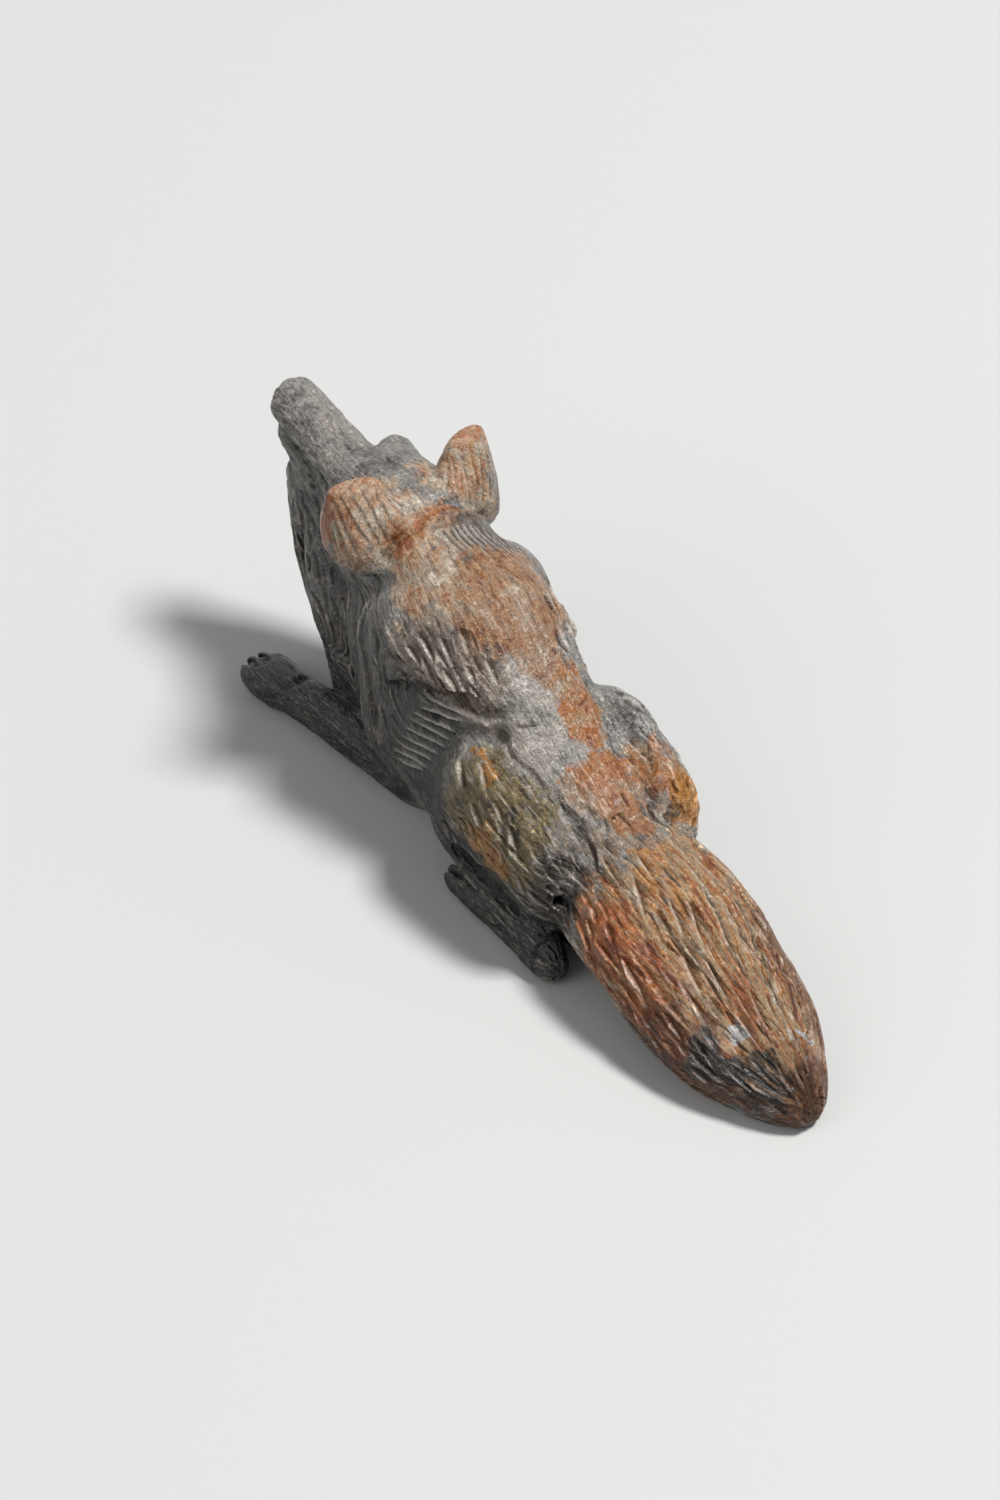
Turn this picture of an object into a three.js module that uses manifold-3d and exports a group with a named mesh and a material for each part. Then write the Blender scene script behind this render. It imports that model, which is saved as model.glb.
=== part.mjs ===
// A small stone carving of a wolf that lies on the ground with its head up.
//
// The body is one piece of marble. Its tail, legs and chest rest on one flat, ground face.
// The two eyes are separate round inlays, each set in a blind hole drilled in the face.
//
// Millimetres. +X points from the tail to the nose, +Y to the animal's left, +Z up.
// While the parts are made, x = 0 is the tail tip and z = 0 is the ground. The finished
// group is then moved so that its origin is at the middle of the footprint.

import * as THREE from 'three';
import { mergeVertices } from 'three/addons/utils/BufferGeometryUtils.js';
import Module from 'manifold-3d';

// Lengths along the body
const tailLength = 42; // tail tip to the root of the tail on the rump
const tailRootDepth = 6; // how far the root runs on into the rump
const rumpOverhang = 4; // how far the rump reaches back over the tail root
const hindLength = 28; // rump to the front of the haunch
const shoulderReach = 17; // front of the haunch to the front edge of the shoulder
const breastReach = 25; // front of the haunch to the middle of the breast at the ground
const breastDepth = 20; // front to back of the breast at the ground
const chinOverhang = 11; // how far the breast leans forward up to the chin
const skullLength = 22; // back of the skull to the stop of the face
const skullSetback = 17; // middle of the breast to the back of the skull
const muzzleLength = 18; // stop of the face to the tip of the nose

// Heights above the ground
const rumpHeight = 21.5;
const waistHeight = 28;
const withersHeight = 39.5;
const crownHeight = 42.5;
const mouthHeight = 33.5;
const noseRise = 2.5; // how much the mouth line climbs from its corner to the nose
const mouthOpening = 0.6; // gap between the jaws at the front
const skullDepth = 19.5; // crown to the underside of the skull
const muzzleHeight = 5.1; // mouth line to the top of the nose
const jawHeight = 5; // mouth line to the chin
const belowGround = 2; // how far standing forms run on below the ground before they are cut

// Widths across the body
const rumpWidth = 19;
const waistWidth = 19;
const withersWidth = 24;
const breastWidth = 15.5;
const skullWidth = 17.6;
const muzzleWidth = 7.4;
const jawWidth = 6.8;
const noseSize = 3.2;
const browLength = 8.4;
const browWidth = 5.6;
const browHeight = 3.6;

// The bushy tail
const tailWidth = 22.8;
const tailHeight = 18.5; // top of the tail above the ground where it leaves the rump

// The folded hind legs
const thighHeight = 24.5;
const thighWidth = 10.4;
const haunchWidth = 27; // over both thighs
const thighLean = 0.22; // how far the top of a thigh leans to the middle, as a slope
const kneeHeight = 11;
const shinWidth = 6;
const shinHeight = 6.6;
const footWidth = 5.6;
const footHeight = 4.2;
const footLength = 23.5;
const heelOverhang = 1; // how far the heel reaches back past the rump
const hindStance = 21.8; // between the centre lines of the two hind feet

// The front legs
const shoulderWidth = 24.5; // over both shoulders
const shoulderDepth = 15; // front to back
const shoulderThickness = 10;
const shoulderTurn = 12; // degrees that the back edge of a shoulder sinks into the body
const elbowSetback = 12; // front edge of the shoulder to the elbow
const forearmWidth = 6.2;
const forearmHeight = 7;
const elbowStance = 12.4; // between the centre lines at the elbows
const pawStance = 22.4; // between the centre lines at the front paws
const forearmLength = 31.5;
const pawLength = 9.6;
const pawWidth = 7;
const pawHeight = 6;

// The ears
const earLength = 10.9; // root inside the skull to the tip
const earWidth = 9.4;
const earDepth = 10.8; // front edge to the ridge at the back, at the root
const earSplay = 1.6; // how far the tip leans out from the root
const earSweep = 0.8; // how far the tip leans back from the root
const earSunk = 7.3; // crown down to the root
const earStance = 13.8; // between the roots of the two ears
const earHollow = 1.4; // depth of the scooped front face

// The eyes
const eyeDiameter = 2.2;
const eyeDepth = 1.8; // length of the inlay inside its hole
const eyeDome = 0.45; // how far the polished face stands out
const eyeClearance = 0.12; // gap between inlay and hole, filled with glue
const drillReach = 4; // how far the drill stands out of the face

const headTurn = 0.7; // degrees that the face looks to the animal's left

// The cuts that part the fur
const furCutWidth = 1.8;
const furCutDepth = 1.1;
const tailTufts = 7;
const breastTufts = 7;
const armTufts = 5;

const toeCutWidth = 0.5;
const toeCutDepth = 1.1;

const wasm = await Module();
wasm.setup();

// Places along the body that several parts share
const rumpBack = tailLength - rumpOverhang;
const haunchFront = rumpBack + hindLength;
const shoulderFront = haunchFront + shoulderReach;
const breastMiddle = haunchFront + breastReach;
const skullBack = breastMiddle - skullSetback;
const stopAt = skullBack + skullLength;
const noseTip = stopAt + muzzleLength;

function toSolid(geometry) {
  const bare = geometry.clone();
  bare.deleteAttribute('normal');
  bare.deleteAttribute('uv');
  const merged = mergeVertices(bare, 1e-5);
  return new wasm.Manifold(new wasm.Mesh({
    numProp: 3,
    vertProperties: new Float32Array(merged.attributes.position.array),
    triVerts: new Uint32Array(merged.index.array),
  }));
}

function toGeometry(solid) {
  const { vertProperties, triVerts } = solid.getMesh();
  const geometry = new THREE.BufferGeometry();
  geometry.setAttribute('position', new THREE.BufferAttribute(new Float32Array(vertProperties), 3));
  geometry.setIndex(new THREE.BufferAttribute(new Uint32Array(triVerts), 1));
  geometry.computeVertexNormals();
  return geometry;
}

const joined = (shapes) => shapes.map(toSolid).reduce((whole, solid) => whole.add(solid));

// One cross-section of a loft: its middle, its half width, and how far it reaches to
// either side of the middle in the third direction.
function section(x, y, z, halfWidth, up, down = up) {
  return { middle: new THREE.Vector3(x, y, z), reach: new THREE.Vector3(halfWidth, up, down) };
}

// A rounded body through a row of cross-sections. "across" is the direction of the half
// width. The sections are square to the spine, or all face one way if "facing" is given. A
// power above 2 makes them squarer.
function loftFrame(sections, across, facing) {
  const spine = new THREE.CatmullRomCurve3(sections.map((s) => s.middle), false, 'catmullrom', 0.5);
  const reaches = new THREE.CatmullRomCurve3(sections.map((s) => s.reach), false, 'catmullrom', 0.5);
  return (t) => {
    const forward = facing ?? spine.getTangent(t);
    const side = across.clone().addScaledVector(forward, -across.dot(forward)).normalize();
    const rise = new THREE.Vector3().crossVectors(forward, side);
    return { middle: spine.getPoint(t), reach: reaches.getPoint(t), side, rise };
  };
}

function pointOnSection({ middle, reach, side, rise }, angle, power) {
  const bend = (v) => Math.sign(v) * Math.abs(v) ** (2 / power);
  const height = Math.sin(angle) > 0 ? reach.y : reach.z;
  return middle.clone()
    .addScaledVector(side, Math.max(reach.x, 0.05) * bend(Math.cos(angle)))
    .addScaledVector(rise, Math.max(height, 0.05) * bend(Math.sin(angle)));
}

const acrossBody = new THREE.Vector3(0, 1, 0);
const ahead = new THREE.Vector3(1, 0, 0);
const downwards = new THREE.Vector3(0, 0, -1);

function loft(sections, { rings = 14, sides = 18, across = acrossBody, facing, power = 2 } = {}) {
  const frameAt = loftFrame(sections, across, facing);
  const points = [];
  for (let ring = 0; ring <= rings; ring += 1) {
    const frame = frameAt(ring / rings);
    for (let side = 0; side < sides; side += 1) {
      points.push(pointOnSection(frame, (side / sides) * 2 * Math.PI, power));
    }
  }
  const startCap = points.length;
  points.push(frameAt(0).middle);
  points.push(frameAt(1).middle);
  const faces = [];
  for (let side = 0; side < sides; side += 1) {
    const next = (side + 1) % sides;
    for (let ring = 0; ring < rings; ring += 1) {
      const near = ring * sides;
      const far = near + sides;
      faces.push(near + side, near + next, far + side, near + next, far + next, far + side);
    }
    const last = rings * sides;
    faces.push(startCap, next, side, startCap + 1, last + side, last + next);
  }
  const geometry = new THREE.BufferGeometry().setFromPoints(points);
  geometry.setIndex(faces);
  return geometry;
}

// A form keeps its sections beside its loft, so that cuts can be laid on its surface: "at"
// gives the point at a share of the way along and an angle round, turned from the across
// direction.
function form(sections, options) {
  const { across = acrossBody, facing, power = 2 } = options;
  const frameAt = loftFrame(sections, across, facing);
  return {
    body: loft(sections, options),
    at: (share, angle) => pointOnSection(frameAt(share), angle, power),
  };
}

function ellipsoid(x, y, z, radiusX, radiusY, radiusZ) {
  const ball = new THREE.SphereGeometry(1, 14, 8);
  ball.scale(radiusX, radiusY, radiusZ);
  ball.translate(x, y, z);
  return ball;
}

// A section that stands on the ground: its top height, its width, and the share of the
// height at which it is widest.
function standing(x, top, width, widestShare) {
  const widest = top * widestShare;
  return section(x, 0, widest, width / 2, top - widest, widest + belowGround);
}

function trunk() {
  const hind = (share) => rumpBack + share * hindLength;
  const fore = (share) => haunchFront + share * shoulderReach;
  return form([
    standing(hind(0), rumpHeight * 0.66, rumpWidth * 0.5, 0.49),
    standing(hind(0.08), rumpHeight * 0.88, rumpWidth * 0.86, 0.42),
    standing(hind(0.24), rumpHeight, rumpWidth, 0.42),
    standing(hind(0.4), rumpHeight + (waistHeight - rumpHeight) * 0.4, rumpWidth, 0.415),
    standing(hind(0.56), waistHeight, waistWidth, 0.41),
    standing(hind(0.74), withersHeight * 0.833, waistWidth * 1.05, 0.425),
    standing(hind(0.98), withersHeight * 0.965, withersWidth, 0.433),
    standing(fore(0.42), withersHeight, withersWidth, 0.456),
    standing(fore(0.72), withersHeight * 1.023, withersWidth * 0.9, 0.47),
    standing(fore(0.9), withersHeight, withersWidth * 0.82, 0.48),
    standing(fore(1.12), withersHeight * 0.9, withersWidth * 0.74, 0.507),
    standing(fore(1.4), withersHeight * 0.8, withersWidth * 0.66, 0.54),
    standing(fore(1.6), withersHeight * 0.7, withersWidth * 0.5, 0.545),
  ], { rings: 20, sides: 20, facing: ahead, power: 2.3 });
}

// The throat and breast are one column of fur that runs from the jaw down to the ground.
function breast() {
  const part = (z, lean, width, front) => section(
    breastMiddle - breastDepth * 0.05 + lean * chinOverhang,
    0,
    z,
    (breastWidth / 2) * width,
    (breastDepth / 2) * front,
    breastDepth * 0.6,
  );
  return form([
    part(mouthHeight * 0.985, 0.52, 0.62, 1.06),
    part(mouthHeight * 0.91, 0.8, 0.76, 1.32),
    part(mouthHeight * 0.806, 0.84, 0.86, 1.24),
    part(mouthHeight * 0.687, 0.74, 0.97, 1.15),
    part(mouthHeight * 0.582, 0.58, 1, 1.1),
    part(mouthHeight * 0.448, 0.43, 1, 1.05),
    part(mouthHeight * 0.3, 0.25, 0.97, 1),
    part(mouthHeight * 0.12, 0.07, 0.92, 1),
    part(-belowGround, 0, 0.86, 1),
  ], { rings: 13, sides: 16, facing: downwards, power: 2.2 });
}

const skullSections = () => {
  const middle = crownHeight - skullDepth * 0.487;
  const part = (share, width, drop, lift, down) => section(
    skullBack + share * skullLength,
    0,
    middle + skullDepth * lift,
    (skullWidth / 2) * width,
    crownHeight - middle - skullDepth * (drop + lift),
    skullDepth * down,
  );
  return [
    part(0, 0.6, 0.205, -0.026, 0.31),
    part(0.2, 0.88, 0.062, 0, 0.44),
    part(0.45, 1, 0, 0, 0.51),
    part(0.7, 0.99, 0.01, 0, 0.51),
    part(0.88, 0.86, 0.051, 0, 0.46),
    part(1, 0.74, 0.123, 0, 0.36),
    part(1.12, 0.6, 0.195, 0.01, 0.28),
    part(1.24, 0.44, 0.267, 0.031, 0.205),
  ];
};
const skullPower = 2.2;

function skull() {
  return form(skullSections(), { rings: 13, sides: 18, facing: ahead, power: skullPower });
}

const mouthLine = (share) => mouthHeight + share * noseRise;

// Both jaws are measured up and down from the mouth line, and are widest close to it.
function jawSection(share, halfWidth, top, bottom, widest) {
  const middle = bottom + (top - bottom) * widest;
  const x = stopAt + share * muzzleLength;
  return section(x, 0, mouthLine(share) + middle, halfWidth, top - middle, middle - bottom);
}

function muzzle() {
  const part = (share, width, top, bottom) => (
    jawSection(share, (muzzleWidth / 2) * width, muzzleHeight * top, muzzleHeight * bottom, 0.3)
  );
  return loft([
    part(-0.2, 1.9, 1.06, -0.78),
    part(0.06, 1.45, 0.92, -0.47),
    part(0.26, 1.16, 0.86, -0.06),
    part(0.5, 1.04, 0.92, 0),
    part(0.76, 0.99, 1, 0),
    part(0.93, 0.93, 1, 0),
    part(0.985, 0.74, 0.88, 0.02),
    part(1.01, 0.42, 0.7, 0.16),
  ], { rings: 11, sides: 16, facing: ahead, power: 2.6 });
}

function lowerJaw() {
  const part = (share, width, top, bottom) => {
    const opening = mouthOpening * Math.max(share, 0);
    return jawSection(share, (jawWidth / 2) * width, jawHeight * top - opening, jawHeight * bottom, 0.7);
  };
  return loft([
    part(-0.2, 2, 0.16, -1.4),
    part(0.1, 1.55, 0.06, -1.24),
    part(0.45, 1.12, 0, -1.08),
    part(0.8, 0.94, 0, -1),
    part(0.92, 0.8, 0, -0.92),
    part(0.965, 0.6, -0.02, -0.8),
    part(0.985, 0.36, -0.14, -0.64),
  ], { rings: 9, sides: 16, facing: ahead, power: 2.5 });
}

function nose() {
  return ellipsoid(
    noseTip - noseSize * 0.375,
    0,
    mouthLine(1) + muzzleHeight * 0.67,
    noseSize / 2,
    muzzleWidth * 0.27,
    noseSize * 0.47,
  );
}

function brow(side) {
  const ridge = ellipsoid(0, 0, 0, browLength / 2, browWidth / 2, browHeight / 2);
  ridge.rotateZ(side * 0.35);
  ridge.rotateY(0.16);
  ridge.translate(stopAt - browLength * 0.26, side * skullWidth * 0.19, crownHeight - browHeight * 0.75);
  return ridge;
}

// An ear is a hood. Its back is a ridge that runs from the nape to the tip, and its front
// is scooped out.
const earTurn = 20; // degrees that the open front faces inwards
const earFront = 0.22; // share of the depth that lies in front of the ear's middle line

function earPart(side, share, width, back, front) {
  const rise = Math.sqrt(earLength ** 2 - earSplay ** 2);
  return section(
    skullBack + skullLength * 0.58 - share * earSweep,
    side * (earStance / 2 + share * earSplay),
    crownHeight - earSunk + share * rise,
    (earWidth / 2) * width,
    earDepth * back,
    earDepth * front,
  );
}

const earAcross = (side) => {
  const angle = THREE.MathUtils.degToRad(earTurn);
  return new THREE.Vector3(side * Math.sin(angle), Math.cos(angle), 0);
};

function ear(side) {
  const part = (...sizes) => earPart(side, ...sizes);
  return loft([
    part(0, 1, 0.62, 0.26),
    part(0.3, 1.06, 0.58, 0.26),
    part(0.6, 1, 0.42, earFront),
    part(0.85, 0.86, 0.24, 0.16),
    part(1, 0.7, 0.1, 0.1),
  ], { rings: 8, sides: 16, across: earAcross(side), power: 1.8 });
}

function earScoop(side) {
  const across = earAcross(side);
  const share = 0.6;
  const { middle, reach } = earPart(side, share, 1, 0, earFront);
  const hollow = ellipsoid(0, 0, 0, earHollow, earWidth * 0.32, earLength * 0.34);
  hollow.rotateX(-side * Math.atan(earSplay / earLength));
  hollow.rotateZ(-side * THREE.MathUtils.degToRad(earTurn));
  hollow.translate(middle.x + across.y * reach.z, middle.y - across.x * reach.z, middle.z);
  return hollow;
}

function tail() {
  const part = (share, height, width, up, down) => section(
    (tailLength + tailRootDepth) * share,
    0,
    tailHeight * height,
    (tailWidth / 2) * width,
    tailHeight * up,
    tailHeight * down,
  );
  return form([
    part(0, 0.13, 0.08, 0.05, 0.06),
    part(0.03, 0.14, 0.27, 0.13, 0.14),
    part(0.125, 0.18, 0.56, 0.27, 0.26),
    part(0.26, 0.23, 0.85, 0.37, 0.34),
    part(0.4, 0.33, 0.97, 0.43, 0.42),
    part(0.56, 0.46, 1, 0.48, 0.46),
    part(0.73, 0.53, 0.98, 0.47, 0.44),
    part(0.88, 0.56, 0.82, 0.47, 0.44),
    part(1, 0.58, 0.6, 0.44, 0.42),
  ], { rings: 17, sides: 18, facing: ahead, power: 2 });
}

function thigh(side) {
  const y = side * (haunchWidth - thighWidth) / 2;
  const leaning = new THREE.Vector3(0, 1, -side * thighLean);
  const part = (share, height, width, reach) => section(
    rumpBack + hindLength * (0.018 + share * 0.93),
    y,
    thighHeight * height,
    (thighWidth / 2) * width,
    (thighHeight / 2) * reach,
  );
  return form([
    part(0, 0.46, 0.35, 0.2),
    part(0.09, 0.47, 0.76, 0.58),
    part(0.26, 0.49, 0.92, 0.8),
    part(0.46, 0.5, 1, 0.9),
    part(0.64, 0.52, 1.02, 0.96),
    part(0.8, 0.54, 0.96, 0.84),
    part(0.93, 0.55, 0.76, 0.56),
    part(1, 0.55, 0.3, 0.2),
  ], { rings: 12, sides: 16, across: leaning, power: 2.3 });
}

function shin(side) {
  const part = (share, inset, height, width, reach) => section(
    rumpBack + share * hindLength,
    side * (hindStance / 2 - shinWidth * inset),
    kneeHeight * height,
    (shinWidth / 2) * width,
    (shinHeight / 2) * reach,
  );
  return loft([
    part(0.91, 0.17, 1, 0.8, 0.79),
    part(0.786, 0, 0.855, 1, 1),
    part(0.464, 0, 0.6, 0.93, 0.91),
    part(0.125, 0, 0.382, 0.87, 0.91),
    part(-0.018, 0, 0.236, 0.47, 0.55),
  ], { rings: 8, sides: 10 });
}

function hindFoot(side) {
  const at = (share) => rumpBack - heelOverhang + share * footLength;
  const y = side * (hindStance / 2);
  const half = footWidth / 2;
  const rise = footHeight / 2;
  return loft([
    section(at(0), y, rise, half * 0.5, rise * 0.6),
    section(at(0.1), y, rise, half * 0.9, rise),
    section(at(0.4), y, rise, half * 0.85, rise * 0.95),
    section(at(0.72), y, rise, half, rise),
    section(at(0.92), y, rise * 0.9, half, rise * 0.85),
    section(at(1), y, rise * 0.8, half * 0.6, rise * 0.5),
  ], { rings: 8, sides: 12, power: 2.4 });
}

function shoulder(side) {
  const inwards = THREE.MathUtils.degToRad(shoulderTurn);
  const across = new THREE.Vector3(-side * Math.sin(inwards), Math.cos(inwards), 0);
  const flank = (shoulderWidth - shoulderThickness) / 2;
  const elbow = elbowStance / 2;
  const part = (back, y, z, width, front, rear) => section(
    shoulderFront - shoulderDepth * back,
    side * y,
    z,
    (shoulderThickness / 2) * width,
    (shoulderDepth / 2) * front,
    (shoulderDepth / 2) * rear,
  );
  return form([
    part(0.593, flank * 0.634, withersHeight * 0.91, 0.68, 0.48, 0.53),
    part(0.527, flank, withersHeight * 0.772, 1, 0.93, 1.15),
    part(0.5, flank, withersHeight * 0.532, 1, 0.99, 1.2),
    part(0.5, elbow + shoulderThickness * 0.2, withersHeight * 0.304, 0.84, 0.85, 1.01),
    part(0.467, elbow + shoulderThickness * 0.04, withersHeight * 0.127, 0.64, 0.72, 0.67),
    part(0.433, elbow, -belowGround, 0.52, 0.67, 0.53),
  ], { rings: 11, sides: 14, across, facing: downwards, power: 2.2 });
}

const elbowX = () => shoulderFront - elbowSetback;

function forearm(side) {
  const at = (share) => elbowX() + share * forearmLength;
  const y = (share) => side * (elbowStance + share * (pawStance - elbowStance)) / 2;
  const half = forearmWidth / 2;
  const rise = forearmHeight / 2;
  return loft([
    section(at(0), y(0), rise * 0.8, half * 0.6, rise * 0.6),
    section(at(0.1), y(0.1), rise, half, rise),
    section(at(0.4), y(0.4), rise, half * 1.02, rise),
    section(at(0.72), y(0.72), rise * 0.9, half * 0.95, rise * 0.88),
    section(at(0.92), y(0.92), rise * 0.8, half, rise * 0.8),
    section(at(1), y(1), rise * 0.7, half * 0.8, rise * 0.6),
  ], { rings: 9, sides: 12, power: 2.2 });
}

const pawX = () => elbowX() + forearmLength;

function frontPaw(side) {
  const rise = pawHeight / 2;
  const part = (along, outwards, height, width, reach) => section(
    pawX() + pawLength * along,
    side * (pawStance / 2 + pawWidth * outwards),
    rise * height,
    (pawWidth / 2) * width,
    rise * reach,
  );
  return loft([
    part(-0.52, -0.057, 1, 0.7, 0.8),
    part(-0.26, 0, 1, 0.96, 1),
    part(0.125, 0.043, 0.95, 1, 0.92),
    part(0.375, 0.057, 0.8, 0.8, 0.66),
    part(0.479, 0.057, 0.7, 0.4, 0.3),
  ], { rings: 8, sides: 12, power: 2.4 });
}

// A cut in the fur is a slim four-sided spindle that lies on a form, so that its inner half
// is taken out of the stone. Its path runs from one [share, angle] to the next.
function furCut({ at }, path, width = furCutWidth, depth = furCutDepth) {
  const points = path.map(([share, angle]) => at(share, angle));
  const [share, angle] = path[Math.floor(path.length / 2)];
  const nudge = 0.02;
  const along = at(share + nudge, angle).sub(at(share - nudge, angle));
  const around = at(share, angle + nudge).sub(at(share, angle - nudge));
  const outwards = along.cross(around).normalize();
  const run = points[points.length - 1].clone().sub(points[0]);
  const across = new THREE.Vector3().crossVectors(outwards, run).normalize();
  const slim = (index) => (index === 0 || index === points.length - 1 ? 0.15 : 1);
  return loft(points.map(({ x, y, z }, index) => (
    section(x, y, z, (width / 2) * slim(index), depth * slim(index))
  )), { rings: points.length - 1, sides: 4, across });
}

const onSide = (side, angle) => (side > 0 ? angle : Math.PI - angle);
const between = (start, end, count) => (
  Array.from({ length: count }, (_, index) => start + ((end - start) * index) / (count - 1))
);

// Long tufts run down the tail, every second one a little further back.
function tailCuts() {
  const plume = tail();
  return between(-0.1 * Math.PI, 1.1 * Math.PI, tailTufts).flatMap((angle, index) => {
    const shift = index % 2 ? 0.16 : 0;
    const tuft = (start, end) => furCut(plume, between(start, end, 4).map((share) => [share, angle]));
    return [tuft(0.2 + shift, 0.46 + shift), tuft(0.56 + shift, Math.min(0.84 + shift, 0.9))];
  });
}

function breastCuts() {
  const column = breast();
  return between(-0.12 * Math.PI, 1.12 * Math.PI, breastTufts).flatMap((angle, index) => {
    const shift = index % 2 ? 0.12 : 0;
    const tuft = (start, end) => furCut(column, between(start, end, 4).map((share) => [share, angle]));
    return [tuft(0.14 + shift, 0.4 + shift), tuft(0.5 + shift, 0.78 + shift)];
  });
}

function thighCuts(side) {
  const haunch = thigh(side);
  return between(-0.75, 0.95, 4).map((angle, index) => {
    const shift = index % 2 ? 0.1 : 0;
    const shares = between(0.22 + shift, 0.64 + shift, 4);
    return furCut(haunch, shares.map((share) => [share, onSide(side, angle)]));
  });
}

// Short cuts one below the other on the back of the upper arm, like the teeth of a comb.
function armCuts(side) {
  const flank = trunk();
  return between(0.32, -0.3, armTufts).map((angle) => (
    furCut(flank, [[0.57, angle - 0.08], [0.51, angle], [0.46, angle + 0.08]].map(([share, turned]) => (
      [share, onSide(side, turned)]
    )))
  ));
}

// The crease where the skull meets the neck, and the ledge under the mane on each flank.
function napeCut() {
  const path = between(0.06, 0.94, 6).map((angle) => [0.2, angle * Math.PI]);
  return furCut(skull(), path, furCutWidth * 1.1, furCutDepth * 1.25);
}

function maneCut(side) {
  const path = [
    [0.6, 0.18], [0.56, 0.38], [0.51, 0.52], [0.47, 0.6], [0.43, 0.76], [0.39, 0.85], [0.36, 0.75],
  ];
  const onFlank = path.map(([share, angle]) => [share, onSide(side, angle)]);
  return furCut(trunk(), onFlank, furCutWidth * 1.35, furCutDepth * 1.35);
}

// The recess between a thigh and the root of the tail.
function rootCut(side) {
  const path = [[0.97, 1.1], [0.92, 0.95], [0.88, 0.7], [0.86, 0.35], [0.85, 0]];
  const onRoot = path.map(([share, angle]) => [share, onSide(side, angle)]);
  return furCut(tail(), onRoot, furCutWidth * 1.35, furCutDepth * 1.45);
}

// Three short cuts across the front of a paw part its four toes.
function toeCuts(x, y, width, height) {
  return [-0.25, 0, 0.25].map((share) => {
    const blade = new THREE.BoxGeometry(toeCutDepth * 4, toeCutWidth, height);
    blade.rotateY(0.6);
    blade.translate(x, y + share * width, height * 0.75);
    return blade;
  });
}

// The eye hole's mouth is on the skull's own surface, beside and below the brow.
const eyeAlong = 0.6;
const eyeAngle = 0.5;

function onEyeAxis(geometry, side) {
  const frame = loftFrame(skullSections(), acrossBody, ahead)(eyeAlong);
  const mouth = pointOnSection(frame, side > 0 ? eyeAngle : Math.PI - eyeAngle, skullPower);
  const out = new THREE.Vector3(0.55, side * 0.8, 0.24).normalize();
  geometry.applyQuaternion(new THREE.Quaternion().setFromUnitVectors(new THREE.Vector3(0, 1, 0), out));
  geometry.translate(mouth.x, mouth.y, mouth.z);
  return geometry;
}

function eyeHole(side) {
  const radius = eyeDiameter / 2 + eyeClearance;
  const depth = eyeDepth + eyeClearance;
  const drill = new THREE.CylinderGeometry(radius, radius, depth + drillReach, 16);
  drill.translate(0, (drillReach - depth) / 2, 0);
  return onEyeAxis(drill, side);
}

function eyeInlay(side) {
  const radius = eyeDiameter / 2;
  const profile = [new THREE.Vector2(0, -eyeDepth), new THREE.Vector2(radius, -eyeDepth)];
  const steps = 5;
  for (let step = 0; step < steps; step += 1) {
    const turn = (step / steps) * (Math.PI / 2);
    profile.push(new THREE.Vector2(radius * Math.cos(turn), eyeDome * Math.sin(turn)));
  }
  profile.push(new THREE.Vector2(0, eyeDome));
  return onEyeAxis(new THREE.LatheGeometry(profile, 16), side);
}

// Head parts are made looking straight ahead and then turned about the neck.
const neckX = skullBack + skullLength * 0.25;
const turn = new THREE.Matrix4().makeTranslation(neckX, 0, 0)
  .multiply(new THREE.Matrix4().makeRotationZ(THREE.MathUtils.degToRad(headTurn)))
  .multiply(new THREE.Matrix4().makeTranslation(-neckX, 0, 0));
const turned = (shape) => shape.applyMatrix4(turn);

const sides = [1, -1];

function carvedStone() {
  const whole = joined([
    trunk().body,
    breast().body,
    tail().body,
    ...[skull().body, muzzle(), nose(), lowerJaw(), ...sides.map(brow), ...sides.map(ear)].map(turned),
    ...sides.flatMap((side) => [
      thigh(side).body,
      shin(side),
      hindFoot(side),
      shoulder(side).body,
      forearm(side),
      frontPaw(side),
    ]),
  ]);
  const block = new THREE.BoxGeometry(noseTip * 4, noseTip * 2, noseTip * 2);
  block.translate(0, 0, noseTip);
  const cuts = joined([
    ...[...sides.map(earScoop), ...sides.map(eyeHole), napeCut()].map(turned),
    ...tailCuts(),
    ...breastCuts(),
    ...sides.flatMap((side) => [
      ...thighCuts(side),
      ...armCuts(side),
      maneCut(side),
      rootCut(side),
      ...toeCuts(pawX() + pawLength * 0.42, side * (pawStance / 2 + pawWidth * 0.043), pawWidth, pawHeight),
      ...toeCuts(rumpBack - heelOverhang + footLength, side * (hindStance / 2), footWidth, footHeight),
    ]),
  ]);
  return whole.intersect(toSolid(block)).subtract(cuts);
}

const stone = new THREE.MeshStandardMaterial({ color: 0x8b7d70, roughness: 0.45, metalness: 0 });
const turquoise = new THREE.MeshStandardMaterial({ color: 0x2f9a94, roughness: 0.25, metalness: 0 });

function named(name, solid, material) {
  const mesh = new THREE.Mesh(toGeometry(solid), material);
  mesh.name = name;
  return mesh;
}

const carving = new THREE.Group();
carving.add(named('stone_carving', carvedStone(), stone));
carving.add(named('left_eye_inlay', toSolid(turned(eyeInlay(1))), turquoise));
carving.add(named('right_eye_inlay', toSolid(turned(eyeInlay(-1))), turquoise));

// The origin is at the middle of the footprint, on the ground.
const bounds = new THREE.Box3().setFromObject(carving);
const middle = bounds.getCenter(new THREE.Vector3());
carving.position.set(-middle.x, -middle.y, 0);

export default carving;
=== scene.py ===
# %% [markdown]
# # A wolf carved from banded stone
# The object is a small animal carving, 114 mm long: a wolf that lies with its head raised and its
# bushy tail stretched out behind. The real one is cut from one block of soft banded stone and then
# polished, so here it is made from one surface too. The plain solid from the CAD model gives the
# size and the main forms. This lesson rounds it, sculpts it, cuts the hair into it stroke by
# stroke, and paints the stone's own colours through it.

# %% Load the frame
import math
import bpy
import numpy as np
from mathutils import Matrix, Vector
from mathutils.kdtree import KDTree


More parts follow.
